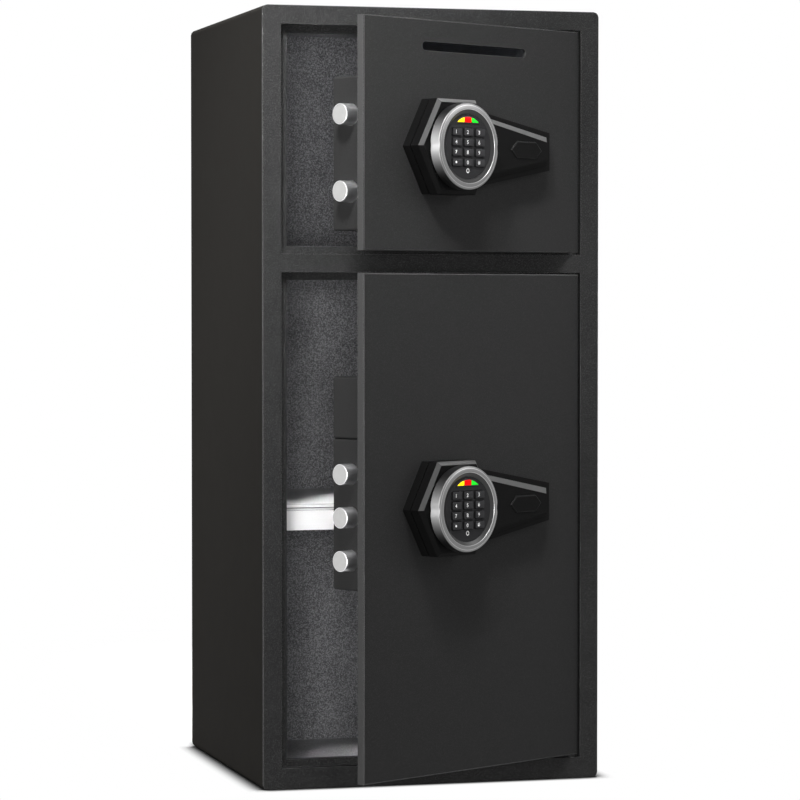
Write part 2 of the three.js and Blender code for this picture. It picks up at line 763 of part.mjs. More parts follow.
function makeHousing(z) {
  const baseFront = front - baseLayerDepth;
  const back = front - seatGap;
  const grooveFront = baseFront - layerGroove;
  const outline = placed(hexagon(housingAcrossFlats), spindleX, z);
  const neckOutline = placed(hexagon(housingAcrossFlats - 2 * layerGroove), spindleX, z);
  const ridgeOutline = placed(armOutline(ridgeInset, ridgeEndInset), spindleX, z);
  const base = alongY(outline, baseFront, back);
  const neck = alongY(neckOutline, grooveFront - layerGroove, back);
  const face = bevelledFront(outline, housingFront, grooveFront, housingBevel);
  const arm = alongY(placed(armOutline(0, 0), spindleX, z), baseFront, back);
  const ridge = bevelledFront(ridgeOutline, ridgeFront, back, ridgeBevel);
  const pocketOutline = placed(keyCoverOutline(seatGap), keyCylinderX, z);
  const pocket = alongY(pocketOutline, ridgeFront - overrun, pocketFloor);
  const spindleHole = spindleRadius + spindleClearance;
  const keyHole = cylinderRadius + spindleClearance;
  const spindleBore = rodY(spindleHole, housingFront - overrun, front + overrun, spindleX, z);
  const keyBore = rodY(keyHole, ridgeFront - overrun, front + overrun, keyCylinderX, z);
  return cut(join(base, neck, face, arm, ridge), pocket, spindleBore, keyBore);
}

// Key cover: a long hexagonal cap over the override cylinder
function makeKeyCover(z) {
  const back = pocketFloor - seatGap;
  const outline = placed(keyCoverOutline(0), keyCylinderX, z);
  return bevelledFront(outline, back - keyCoverThickness, back, keyCoverBevel);
}

// Override cylinder: a keyed plug with a tail behind the door plate
function makeKeyCylinder(z) {
  const tailFront = plateRear + cylinderTailGap;
  const tailRear = tailFront + cylinderTailThickness;
  const face = pocketFloor + cylinderInset;
  const plug = rodY(cylinderRadius, face, tailRear, keyCylinderX, z);
  const half = cylinderTailWidth / 2;
  const tail = block(keyCylinderX - half, keyCylinderX + half, tailFront, tailRear, z - cylinderTailReach, z);
  const keyway = block(keyCylinderX - keywayWidth / 2, keyCylinderX + keywayWidth / 2, face - overrun,
    face + keywayDepth, z - keywayHeight / 2, z + keywayHeight / 2);
  return cut(join(plug, tail), keyway);
}

// Knob: a turned cup with a flat rim, a cone down to the keypad plate and two finger scallops
function makeKnob(z) {
  const ledgeRadius = padRadius - knobLedge;
  const ledgeFace = padRear + seatGap;
  const profile = [
    [0, webFront],
    [ledgeRadius, webFront],
    [ledgeRadius, ledgeFace],
    [padRadius + seatGap, ledgeFace],
    [padRadius + seatGap, padFront],
    [knobFaceRadius, knobFront],
    [knobRimRadius, knobFront],
    [knobRadius, knobFront + knobRimDrop],
    [knobRadius, knobRear - knobRearTaper],
    [knobRearRadius, knobRear],
    [0, knobRear],
  ];
  const cup = turned(profile, spindleX, z, knobSides);
  const offset = knobRadius + scallopRadius - scallopDepth;
  const scallops = [-1, 1].map((side) => rodY(scallopRadius, knobFront - overrun, knobRear + overrun,
    spindleX + side * offset, z, boltSides));
  return cut(cup, ...scallops);
}

// Places of the twelve keys, row by row from the top left
const keyNames = ["1", "2", "3", "4", "5", "6", "7", "8", "9", "star", "0", "hash"];

function keyPlace(index) {
  const column = index % keyColumns;
  const row = Math.floor(index / keyColumns);
  return { x: spindleX + (column - (keyColumns - 1) / 2) * keyPitchX, dz: keyTopRow - row * keyPitchZ };
}

function keyOutline(place, z, margin) {
  const halfX = keyWidth / 2 + margin;
  const halfZ = keyHeight / 2 + margin;
  return rectangle(place.x - halfX, place.x + halfX, z + place.dz - halfZ, z + place.dz + halfZ,
    keyCorner, keyCornerSteps);
}

// Status window: a strip with an arched top edge
function windowOutline(z, margin) {
  const half = windowWidth / 2 + margin;
  const low = z + windowRise - margin;
  const ends = windowEndHeight + 2 * margin;
  const rise = windowHeight - windowEndHeight;
  const arcRadius = (half * half + rise * rise) / (2 * rise);
  const arcCentre = low + ends + rise - arcRadius;
  const spread = Math.asin(half / arcRadius);
  const points = [new THREE.Vector2(spindleX - half, low), new THREE.Vector2(spindleX + half, low)];
  for (let i = 0; i <= archSteps; i += 1) {
    const angle = spread - (2 * spread * i) / archSteps;
    const x = spindleX + arcRadius * Math.sin(angle);
    points.push(new THREE.Vector2(x, arcCentre + arcRadius * Math.cos(angle)));
  }
  return points;
}

function makeKeypadPlate(z) {
  const disc = rodY(padRadius, padFront, padRear, spindleX, z, knobSides);
  const openings = keyNames.map((_, index) => alongY(keyOutline(keyPlace(index), z, seatGap),
    padFront - overrun, padRear + overrun));
  const window = alongY(windowOutline(z, seatGap), padFront - overrun, padRear + overrun);
  return cut(disc, window, ...openings);
}

function makeWindow(z) {
  const back = padRear + seatGap + keyFlangeThickness;
  const lens = alongY(windowOutline(z, 0), padFront - windowProud, back);
  const flange = alongY(windowOutline(z, keyFlange), padRear + seatGap, back);
  return join(lens, flange);
}

function makeKey(index, z) {
  const place = keyPlace(index);
  const back = webFront - keyFloorGap - keyTravel;
  const cap = bevelledFront(keyOutline(place, z, 0), padFront - keyProud, back, keyBevel);
  const flangeFront = padRear + seatGap;
  const flange = alongY(keyOutline(place, z, keyFlange), flangeFront, flangeFront + keyFlangeThickness);
  return join(cap, flange);
}

// One door with all that it carries, drawn shut and then swung open about its pins
function makeDoor(prefix, opening, sillGap, lock) {
  const swing = new THREE.Group();
  swing.position.set(pivot.x, pivot.y, 0);
  swing.rotation.z = THREE.MathUtils.degToRad(doorAjar);
  const shut = new THREE.Group();
  shut.position.set(-pivot.x, -pivot.y, 0);
  swing.add(shut);
  const add = (name, solid, material) => shut.add(toMesh(`${prefix}_${name}`, solid, material));

  const z = lock.spindle;
  const panel = cut(makeDoorPanel(opening, sillGap), ...lockHoles(z));
  const isUpper = opening === upperOpening;
  add("door_panel", isUpper ? cut(panel, depositSlot()) : panel, materials.doorCoat);
  const flangeAbove = isUpper ? coverFlange : 0;
  const cover = makeCover(lock.coverBottom, lock.coverTop, lock.bolts, coverFlange, flangeAbove);
  add("lock_cover", cover, materials.blackCoat);
  add("lock_housing", makeHousing(z), materials.housingBlack);
  add("key_cover", makeKeyCover(z), materials.housingBlack);
  add("key_cylinder", makeKeyCylinder(z), materials.brass);
  add("solenoid", makeSolenoid(z), materials.zincSheet);
  add("bolt_bar", makeBoltBar(lock), materials.zincSheet);
  lock.bolts.forEach((height, index) => add(`bolt_${index + 1}`, makeBolt(height), materials.chrome));
  add("spindle", makeSpindle(z), materials.zincSheet);
  add("knob", makeKnob(z), materials.satinChrome);
  add("keypad_plate", makeKeypadPlate(z), materials.padBlack);
  add("status_window", makeWindow(z), materials.lightWindow);
  keyNames.forEach((label, index) => add(`key_${label}`, makeKey(index, z), materials.keyBlack));
  if (isUpper) {
    add("deposit_chute", makeChute(lock), materials.zincSheet);
  } else {
    const boxTop = lock.coverTop + batteryBoxHeight;
    const batteryBox = makeCover(lock.coverTop + batterySeam, boxTop, [], 0, coverFlange);
    add("battery_box", batteryBox, materials.blackCoat);
  }
  return swing;
}

const safe = new THREE.Group();
safe.add(cabinet);
safe.add(makeDoor("upper", upperOpening, doorGapBelow, upperLock));
safe.add(makeDoor("lower", lowerOpening, lowerDoorSillGap, lowerLock));

export default safe;
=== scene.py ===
"""Looks of a tall drop safe with two keypad doors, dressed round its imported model.

Every length is in metres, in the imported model's frame: X to the right, Y to the back, Z up. What belongs to a
door is drawn in that door's own lock frame, with X across the door, Y into it and Z up, and its origin on the
knob's axis.
"""

import json
import logging
import math
from dataclasses import dataclass, field
from enum import Enum
from typing import Callable, Iterable, Sequence

import bmesh
import bpy
from mathutils import Euler, Matrix, Vector


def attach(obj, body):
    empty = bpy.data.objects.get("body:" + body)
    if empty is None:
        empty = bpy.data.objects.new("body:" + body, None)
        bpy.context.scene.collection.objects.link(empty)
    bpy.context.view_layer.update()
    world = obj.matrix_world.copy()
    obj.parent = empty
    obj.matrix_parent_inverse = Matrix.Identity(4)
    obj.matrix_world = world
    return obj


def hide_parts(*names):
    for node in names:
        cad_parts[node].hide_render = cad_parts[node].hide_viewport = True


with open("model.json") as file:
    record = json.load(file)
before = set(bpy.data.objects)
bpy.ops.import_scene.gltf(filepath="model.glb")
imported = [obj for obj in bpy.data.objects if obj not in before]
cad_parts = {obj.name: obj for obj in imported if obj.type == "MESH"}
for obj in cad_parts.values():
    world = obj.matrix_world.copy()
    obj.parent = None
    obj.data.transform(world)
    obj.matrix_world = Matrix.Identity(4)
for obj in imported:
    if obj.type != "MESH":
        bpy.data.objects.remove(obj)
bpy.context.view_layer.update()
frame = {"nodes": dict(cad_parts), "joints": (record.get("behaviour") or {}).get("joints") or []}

LOG = logging.getLogger("drop_safe")
MM = 0.001
Pair = tuple[float, float]
Point = tuple[float, float, float]
Colour = tuple[float, float, float]
Outline = Sequence[Pair]


class Leaf(Enum):
    """The two doors, by the first word of their nodes' names."""

    UPPER = "upper"
    LOWER = "lower"


class Lamp(Enum):
    """The three status lamps behind the window, from left to right."""

    YELLOW = "yellow"
    RED = "red"
    GREEN = "green"


# Node trees


class Board:
    """A node tree, with one method that adds any node."""

    def __init__(self, tree: bpy.types.NodeTree, prefix: str) -> None:
        """Takes a tree, and what the types of its nodes begin with where that is left out."""
        self.tree = tree
        self.prefix = prefix

    def node(self, kind: str, settings: dict[str, object] | None = None, **values: object) -> bpy.types.Node:
        """Adds a node.

        Args:
            kind: The node's type, with or without its prefix.
            settings: Attributes of the node, set before its sockets.
            values: Values or links of its input sockets, with underscores for spaces.

        Returns:
            The new node.
        """
        whole = kind.startswith(("ShaderNode", "NodeGroup"))
        made = self.tree.nodes.new(kind if whole else self.prefix + kind)
        for key, value in (settings or {}).items():
            setattr(made, key, value)
        for key, value in values.items():
            self.feed(made.inputs[key.replace("_", " ")], value)
        return made

    def feed(self, socket: bpy.types.NodeSocket, value: object) -> None:
        """Fills an input socket.

        Args:
            socket: The socket.
            value: A wire or another node's output to link, or the socket's own value.
        """
        source = value.socket if isinstance(value, Wire) else value
        if isinstance(source, bpy.types.NodeSocket):
            self.tree.links.new(source, socket)
        else:
            socket.default_value = source


class Shader(Board):
    """The node tree of a material or a world."""

    mix_factor, mix_first, mix_second, mix_result = 0, 6, 7, 2

    def __init__(self, owner: bpy.types.Material | bpy.types.World) -> None:
        """Empties the owner's tree and works on it.

        Args:
            owner: The material or the world.
        """
        owner.use_nodes = True
        super().__init__(owner.node_tree, "ShaderNode")
        self.owner = owner
        self.tree.nodes.clear()

    def wire(self, node: bpy.types.Node, output: str | int = 0) -> "Wire":
        """Wraps one output of a node."""
        return Wire(self, node.outputs[output])

    def place(self) -> "Wire":
        """Gives the piece's own coordinates in metres."""
        return self.wire(self.node("TexCoord"), "Object")

    def attribute(self, name: str) -> "Wire":
        """Gives a number that the mesh carries, or 0 where it carries none."""
        return self.wire(self.node("Attribute", {"attribute_name": name}), "Fac")

    def noise(self, where: "Wire", grain: float, detail: float = 2.0, rough: float = 0.5) -> "Wire":
        """Gives a noise from 0 to 1, by its features' width in metres, its octaves and their shares."""
        made = self.node("TexNoise", Vector=where, Scale=1.0 / grain, Detail=detail, Roughness=rough)
        return self.wire(made, "Fac")

    def ramp(self, value: "Wire", low: float, high: float) -> "Wire":
        """Stretches a value so that low becomes 0 and high becomes 1."""
        return self.wire(self.node("MapRange", {"interpolation_type": "SMOOTHSTEP"}, Value=value,
                                   From_Min=low, From_Max=high), "Result")

    def blend(self, share: "Wire", first: "Colour | Wire", second: "Colour | Wire") -> "Wire":
        """Mixes two colours.

        Args:
            share: Share of the second colour.
            first: The first colour.
            second: The second colour.

        Returns:
            The mixed colour.
        """
        made = self.node("Mix", {"data_type": "RGBA"})
        self.feed(made.inputs[self.mix_factor], share)
        for index, colour in ((self.mix_first, first), (self.mix_second, second)):
            self.feed(made.inputs[index], colour if isinstance(colour, Wire) else (*colour, 1.0))
        return self.wire(made, self.mix_result)

    def bump(self, height: "Wire", depth: float) -> "Wire":
        """Turns a height from 0 to 1 into a normal, for a relief of a real depth in metres."""
        return self.wire(self.node("Bump", Height=height, Distance=depth), "Normal")

    def close(self, surface: bpy.types.Node, output: str = "OutputMaterial") -> None:
        """Links a surface to the tree's output."""
        self.tree.links.new(surface.outputs[0], self.node(output).inputs["Surface"])


@dataclass(frozen=True)
class Wire:
    """A socket's output as a value that can be reckoned with."""

    shader: Shader
    socket: bpy.types.NodeSocket

    def math(self, operation: str, first: object, second: object = 0.0) -> "Wire":
        """Adds one Math node.

        Args:
            operation: The node's operation.
            first: First value or wire.
            second: Second value or wire.

        Returns:
            The result.
        """
        made = self.shader.node("Math", {"operation": operation})
        for socket, value in zip(made.inputs, (first, second)):
            self.shader.feed(socket, value)
        return self.shader.wire(made)

    def __add__(self, other: object) -> "Wire":
        """Adds."""
        return self.math("ADD", self, other)

    __radd__ = __add__

    def __sub__(self, other: object) -> "Wire":
        """Takes away."""
        return self.math("SUBTRACT", self, other)

    def __rsub__(self, other: object) -> "Wire":
        """Takes this from a number."""
        return self.math("SUBTRACT", other, self)

    def __mul__(self, other: object) -> "Wire":
        """Multiplies."""
        return self.math("MULTIPLY", self, other)

    __rmul__ = __mul__


# Finishes

RADIUS = "turn_radius"
# The fold share marks the faces that take a finish's painted edge tone.
FOLD = "fold"
# The grip share marks where the ring's paler grip tone paints a highlight on its wall.
GRIP_HIGHLIGHT = "grip_highlight"


def grey(value: float, blue: float = 0.0) -> Colour:
    """Gives a grey, with a little more or less blue where that is wanted."""
    return value, value, value + blue


@dataclass(frozen=True)
class Finish:
    """A named finish for one of the record's material slots."""

    name: str
    slot: str

    def material(self) -> bpy.types.Material:
        """Builds the finish's material."""
        shader = Shader(bpy.data.materials.new(self.name))
        shader.close(shader.node("BsdfPrincipled", None, **self.looks(shader, shader.place())))
        return shader.owner

    def looks(self, shader: Shader, where: Wire) -> dict[str, object]:
        """Works out values or links of the surface's sockets."""
        raise NotImplementedError


@dataclass(frozen=True)
class PowderCoat(Finish):
    """A fine-textured powder coat with a faint speckle, and a painted tone along its folds: a highlight on the
    dark coats, shade on the pale shelf coat.
    """

    colour: Colour
    fleck: Colour
    fold: Colour
    shine: float
    roughness: float = 0.5
    grain: float = 1.0 * MM
    octaves: Pair = (3.0, 0.6)
    relief: float = 0.02 * MM
    fleck_edges: Pair = (0.47, 0.72)
    cloud_edges: Pair = (0.3, 0.8)
    cloud_share: float = 0.08
    cloud_scale: float = 22.0
    cloud_haze: float = 0.12
    fold_polish: float = 0.15

    def looks(self, shader: Shader, where: Wire) -> dict[str, object]:
        """Works out the speckle and the painted tone along the folds.

        Args:
            shader: Adds the nodes.
            where: The piece's own coordinates.

        Returns:
            Values or links of the surface's sockets.
        """
        grain = shader.noise(where, self.grain, *self.octaves)
        cloud = shader.noise(where, self.cloud_scale * self.grain)
        fleck = (shader.ramp(grain, *self.fleck_edges) * (1.0 - self.cloud_share)
                 + shader.ramp(cloud, *self.cloud_edges) * self.cloud_share)
        # The fold share mixes in the fold tone: a painted highlight along the dark coats' edges, painted shade
        # along the shelf's.
        fold = shader.attribute(FOLD)
        return {
            "Base_Color": shader.blend(fold, shader.blend(fleck, self.colour, self.fleck), self.fold),
            "Roughness": self.roughness + cloud * self.cloud_haze - fold * self.fold_polish,
            "Normal": shader.bump(grain, self.relief),
            "Specular_IOR_Level": self.shine,
        }


@dataclass(frozen=True)
class Felt(Finish):
    """Short grey felt, speckled by its fibres."""

    colour: Colour
    fibre: Colour
    nap: float = 1.6 * MM
    octaves: Pair = (4.0, 0.7)
    relief: float = 0.8 * MM
    fibre_edges: Pair = (0.4, 0.68)
    fibre_share: float = 0.7
    cloud_scale: float = 30.0
    cloud_octaves: float = 3.0
    roughness: float = 0.9
    nap_haze: float = 0.1
    sheen: float = 0.35
    sheen_roughness: float = 0.6
    shine: float = 0.15

    def looks(self, shader: Shader, where: Wire) -> dict[str, object]:
        """Works out the fibres.

        Args:
            shader: Adds the nodes.
            where: The piece's own coordinates.

        Returns:
            Values or links of the surface's sockets.
        """
        nap = shader.noise(where, self.nap, *self.octaves)
        cloud = shader.noise(where, self.cloud_scale * self.nap, self.cloud_octaves)
        share = shader.ramp(nap, *self.fibre_edges) * self.fibre_share + cloud * (1.0 - self.fibre_share)
        return {
            "Base_Color": shader.blend(share, self.colour, self.fibre),
            "Roughness": self.roughness + nap * self.nap_haze,
            "Normal": shader.bump(nap, self.relief),
            "Sheen_Weight": self.sheen,
            "Sheen_Roughness": self.sheen_roughness,
            "Specular_IOR_Level": self.shine,
        }


@dataclass(frozen=True)
class Plate(Finish):
    """Plated or bare metal with a light haze and drawn lines."""

    colour: Colour
    haze: Colour
    roughness: float
    line: float = 0.4 * MM
    line_stretch: Point = (1.0, 1.0, 0.04)
    line_haze: float = 0.1
    relief: float = 0.008 * MM
    haze_scale: float = 20.0
    haze_octaves: float = 3.0
    haze_share: float = 0.04

    def looks(self, shader: Shader, where: Wire) -> dict[str, object]:
        """Works out the haze, and drawn lines that run up and down.

        Args:
            shader: Adds the nodes.
            where: The piece's own coordinates.

        Returns:
            Values or links of the surface's sockets.
        """
        haze = shader.noise(where, self.haze_scale * self.line, self.haze_octaves)
        stretched = shader.wire(shader.node("Mapping", None, Vector=where, Scale=self.line_stretch))
        drawn = shader.noise(stretched, self.line)
        return {
            "Base_Color": shader.blend(haze, self.colour, self.haze),
            "Roughness": self.roughness + drawn * self.line_haze + haze * self.haze_share,
            "Metallic": 1.0,
            "Normal": shader.bump(drawn, self.relief),
        }


@dataclass(frozen=True)
class Turned(Finish):
    """Satin chrome with turned rings: a cone in painted shade, a face between painted highlight lines, pale
    grips.
    """

    cone: Colour
    face: Colour
    line: Colour
    wall: Colour
    grip_highlight: Colour
    cone_radius: float
    face_radius: float
    wall_radius: float
    line_width: float = 0.5 * MM
    roughness: float = 0.28
    grip_highlight_roughness: float = 0.2
    grip_highlight_metal: float = 0.35
    ring: float = 0.25 * MM
    ring_octaves: float = 2.0
    ring_haze: float = 0.12
    relief: float = 0.006 * MM
    haze_scale: float = 40.0
    haze_octaves: float = 3.0
    haze_share: float = 0.1

    def looks(self, shader: Shader, where: Wire) -> dict[str, object]:
        """Works out the zones by their radius, and the turned rings.

        Args:
            shader: Adds the nodes.
            where: The piece's own coordinates.

        Returns:
            Values or links of the surface's sockets.
        """
        radius = shader.attribute(RADIUS)
        grip_highlight = shader.attribute(GRIP_HIGHLIGHT)
        turned = shader.node("TexNoise", {"noise_dimensions": "1D"}, W=radius, Detail=self.ring_octaves,
                             Scale=1.0 / self.ring)
        rings = shader.wire(turned, "Fac")
        haze = shader.noise(where, self.haze_scale * self.ring, self.haze_octaves)
        lines = (self.line_at(shader, radius, self.cone_radius)
                 + self.line_at(shader, radius, self.face_radius))
        face = self.beyond(shader, radius, self.cone_radius)
        wall = self.beyond(shader, radius, self.wall_radius)
        # The cone's dark tone paints the shade of the recess, and the pale lines paint highlights along the
        # face's edges.
        front = shader.blend(lines, shader.blend(face, self.cone, self.face), self.line)
        # The grips are a paler satin at three and nine o'clock that also paints the wall's highlight.
        side = shader.blend(grip_highlight, self.wall, self.grip_highlight)
        pale = wall * grip_highlight
        return {
            "Base_Color": shader.blend(haze * self.haze_share, shader.blend(wall, front, side), self.cone),
            "Roughness": self.roughness + rings * self.ring_haze + pale * self.grip_highlight_roughness,
            "Metallic": 1.0 - pale * (1.0 - self.grip_highlight_metal),
            "Normal": shader.bump(rings, self.relief),
        }

    def beyond(self, shader: Shader, radius: Wire, limit: float) -> Wire:
        """Gives 1 beyond a radius and 0 within it, with a soft step."""
        return shader.ramp(radius, limit - self.ring / 2, limit + self.ring / 2)

    def line_at(self, shader: Shader, radius: Wire, start: float) -> Wire:
        """Gives 1 on a narrow ring that starts at a radius, and 0 elsewhere."""
        return self.beyond(shader, radius, start) - self.beyond(shader, radius, start + self.line_width)


@dataclass(frozen=True)
class Moulding(Finish):
    """Moulded black plastic or rubber with a fine spark-eroded grain, and a painted tone, lighter or darker, on
    marked faces.
    """

    colour: Colour
    mottle_tone: Colour
    roughness: float
    shine: float = 0.5
    fold: float = 1.0
    grain: float = 0.5 * MM
    octaves: Pair = (2.0, 0.6)
    grain_haze: float = 0.14
    relief: float = 0.02 * MM
    cloud_scale: float = 40.0
    cloud_share: float = 0.6

    def looks(self, shader: Shader, where: Wire) -> dict[str, object]:
        """Works out the grain and the painted tone on marked edges, slopes and walls.

        Args:
            shader: Adds the nodes.
            where: The piece's own coordinates.

        Returns:
            Values or links of the surface's sockets.
        """
        grain = shader.noise(where, self.grain, *self.octaves)
        cloud = shader.noise(where, self.cloud_scale * self.grain)
        tone_share = cloud * self.cloud_share + grain * (1.0 - self.cloud_share)
        # The fold factor scales the mottle tone into the painted tone. A larger factor paints a highlight and a
        # smaller one paints shade.
        edge = tuple(self.fold * value for value in self.mottle_tone)
        fold = shader.attribute(FOLD)
        return {
            "Base_Color": shader.blend(fold, shader.blend(tone_share, self.colour, self.mottle_tone), edge),
            "Roughness": self.roughness + grain * self.grain_haze,
            "Normal": shader.bump(grain, self.relief),
            "Specular_IOR_Level": self.shine,
        }


@dataclass(frozen=True)
class Lens(Finish):
    """A lit coloured lens, its tint varied by a soft noise."""

    colour: Colour
    deep: Colour
    strength: float = 0.75
    cloud: float = 3 * MM
    cloud_octaves: float = 1.0
    cloud_haze: float = 0.05
    roughness: float = 0.2
    shine: float = 0.02

    def looks(self, shader: Shader, where: Wire) -> dict[str, object]:
        """Works out the tint.

        Args:
            shader: Adds the nodes.
            where: The piece's own coordinates.

        Returns:
            Values or links of the surface's sockets.
        """
        cloud = shader.noise(where, self.cloud, self.cloud_octaves)
        tint = shader.blend(cloud, self.deep, self.colour)
        return {
            "Base_Color": tint,
            "Roughness": self.roughness + cloud * self.cloud_haze,
            "Emission_Color": tint,
            "Emission_Strength": self.strength,
            "Specular_IOR_Level": self.shine,
        }


# The shell, frame and cover coats are one cabinet coat in three tones that paint how each part is lit, and each
# coat's fold tone paints a highlight along its rounded edges.
SHELL_COAT = PowderCoat("shell_coat", "cabinet_coat", (0.0158, 0.015, 0.0137), (0.0193, 0.0183, 0.017),
                        grey(0.05), 0.01, 0.75, 1.2 * MM)
FRAME_COAT = PowderCoat("frame_coat", "cabinet_coat", grey(0.009), grey(0.047), grey(0.5), 0.09,
                        grain=1.1 * MM, relief=0.09 * MM)
COVER_COAT = PowderCoat("cover_coat", "cabinet_coat", grey(0.013), grey(0.021), grey(0.14), 0.1,
                        grain=0.9 * MM)
# The door coat's pale fold tone paints a highlight along the panel's rounded edges.
DOOR_COAT = PowderCoat("door_coat", "door_coat", grey(0.018), grey(0.036), grey(0.25), 0.06, relief=0.04 * MM)
# The shelf coat's dark fold tone paints a shade line along the shelf's folded edges.
SHELF_COAT = PowderCoat("shelf_coat", "shelf_coat", grey(0.8), grey(0.86), grey(0.3, 0.01), 0.5, 0.36)
FELT = Felt("compartment_felt", "felt", grey(0.045, 0.003), grey(0.58, 0.02))
ZINC = Plate("zinc_plate", "zinc_plate", (0.42, 0.43, 0.45), (0.3, 0.31, 0.33), 0.28)
CHROME = Plate("bolt_chrome", "bolt_chrome", grey(0.83, 0.01), grey(0.7, 0.01), 0.28)
BOLT_END = Plate("bolt_end_satin", "bolt_chrome", grey(0.44, -0.005), grey(0.38, -0.005), 0.5)
BRASS = Plate("turned_brass", "brass", (0.62, 0.42, 0.16), (0.5, 0.33, 0.13), 0.26)
# The cone grey paints recess shade, and the line and grip greys paint highlights.
SATIN = Turned("satin_chrome", "satin_chrome", grey(0.05), grey(0.19), grey(0.5), grey(0.13), grey(0.5),
               45.6 * MM, 50.5 * MM, 53.0 * MM)
# The housing's large fold factor makes its fold tone a painted highlight on its rounded edges and upper slopes.
HOUSING = Moulding("housing_black", "housing_black", grey(0.002), grey(0.005), 0.4, 0.04, 18.0)
PAD = Moulding("keypad_black", "keypad_black", grey(0.01, 0.001), grey(0.018, 0.001), 0.45, 0.1)
# The key's small fold factor makes its fold tone darker: painted shade on the keys' side walls.
KEY = Moulding("key_rubber", "key_black", grey(0.02, 0.001), grey(0.032, 0.002), 0.55, 0.1, 0.1)
INK = Moulding("white_ink", "key_black", grey(0.85), grey(0.92), 0.5)
BEZEL = Moulding("window_bezel", "light_window", grey(0.008), grey(0.012), 0.3, 0.3, relief=0.01 * MM)
LENSES = {
    Lamp.YELLOW: Lens("lens_yellow", "light_window", (1.0, 0.9, 0.02), (0.95, 0.62, 0.0)),
    Lamp.RED: Lens("lens_red", "light_window", (0.95, 0.008, 0.008), (0.7, 0.002, 0.002)),
    Lamp.GREEN: Lens("lens_green", "light_window", (0.02, 0.7, 0.03), (0.008, 0.48, 0.015)),
}


@dataclass
class Paints:
    """Makes each finish's material once."""

    made: dict[str, bpy.types.Material] = field(default_factory=dict)

    def of(self, finish: Finish) -> bpy.types.Material:
        """Gives a finish's material.

        Args:
            finish: The finish.

        Returns:
            Its material, which is made the first time.
        """
        if finish.name not in self.made:
            self.made[finish.name] = finish.material()
        return self.made[finish.name]


PAINTS = Paints()


# Meshes

SEAM = 0.02 * MM
FLAT_WEIGHT = 100
FLAT_ANGLE = 0.6
SHARP_ANGLE = 30.0
CREASE = 35.0
BEVEL_ANGLE = 40.0
BEVEL_SLOT = 1
BEVEL_KNEE = 0.3
LEAST_BEND = 0.2


def linked(name: str, data: bpy.types.ID) -> bpy.types.Object:
    """Makes an object and links it to the scene.

    Args:
        name: The object's name.
        data: Its mesh, curve, lamp or camera.

    Returns:
        The object.
    """
    made = bpy.data.objects.new(name, data)
    bpy.context.scene.collection.objects.link(made)
    return made


def add_piece(name: str, mesh: bpy.types.Mesh, finish: Finish, body: str, stands_for: Sequence[str] = ()
              ) -> None:
    """Puts a finished mesh in the scene.

    Args:
        name: The piece's name.
        mesh: Its mesh, with every point in its place.
        finish: Its finish.
        body: The body that it moves with.
        stands_for: The nodes that it is shown instead of.
    """
    mesh.materials.clear()
    mesh.materials.append(PAINTS.of(finish))
    piece = linked(name, mesh)
    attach(piece, body)
    if stands_for:
        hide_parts(*stands_for)
    LOG.info("piece %s rides on %s with %d faces", name, body, len(mesh.polygons))


def dress(node: str, suffix: str, finish: Finish, body: str, radius: float) -> None:
    """Puts a copy with rounded edges in the place of a node, with a suffix after the node's name."""
    add_piece(f"{node}_{suffix}", softened(node, radius), finish, body, [node])


def mesh_of(work: bmesh.types.BMesh, name: str) -> bpy.types.Mesh:
    """Turns mesh work into a mesh and frees it.

    Args:
        work: The mesh work.
        name: The mesh's name.

    Returns:
        The mesh.
    """
    mesh = bpy.data.meshes.new(name)
    work.to_mesh(mesh)
    work.free()
    return mesh


def mesh_from(name: str, fill: Callable[[bmesh.types.BMesh], None], place: Matrix) -> bpy.types.Mesh:
    """Builds a mesh by a function that fills it.

    Args:
        name: The mesh's name.
        fill: Adds the faces.
        place: Where the mesh is put.

    Returns:
        The mesh.
    """
    work = bmesh.new()
    fill(work)
    bmesh.ops.transform(work, matrix=place, verts=work.verts)
    bmesh.ops.recalc_face_normals(work, faces=work.faces)
    mesh = mesh_of(work, name)
    smooth(mesh, CREASE)
    return mesh


def smooth(mesh: bpy.types.Mesh, angle: float) -> None:
    """Shades a mesh smooth, but for edges sharper than an angle in degrees."""
    mesh.polygons.foreach_set("use_smooth", [True] * len(mesh.polygons))
    mesh.set_sharp_from_angle(angle=math.radians(angle))


def baked(holder: bpy.types.Object) -> bpy.types.Mesh:
    """Turns an object with modifiers, or a text, into a plain mesh and removes the object.

    Args:
        holder: The object.

    Returns:
        The mesh.
    """
    graph = bpy.context.evaluated_depsgraph_get()
    mesh = bpy.data.meshes.new_from_object(holder.evaluated_get(graph))
    bpy.data.objects.remove(holder)
    return mesh


def corners(points: Sequence[Vector]) -> tuple[Vector, Vector]:
    """Gives the lowest and the highest corner of points."""
    low = Vector([min(point[axis] for point in points) for axis in range(3)])
    return low, Vector([max(point[axis] for point in points) for axis in range(3)])


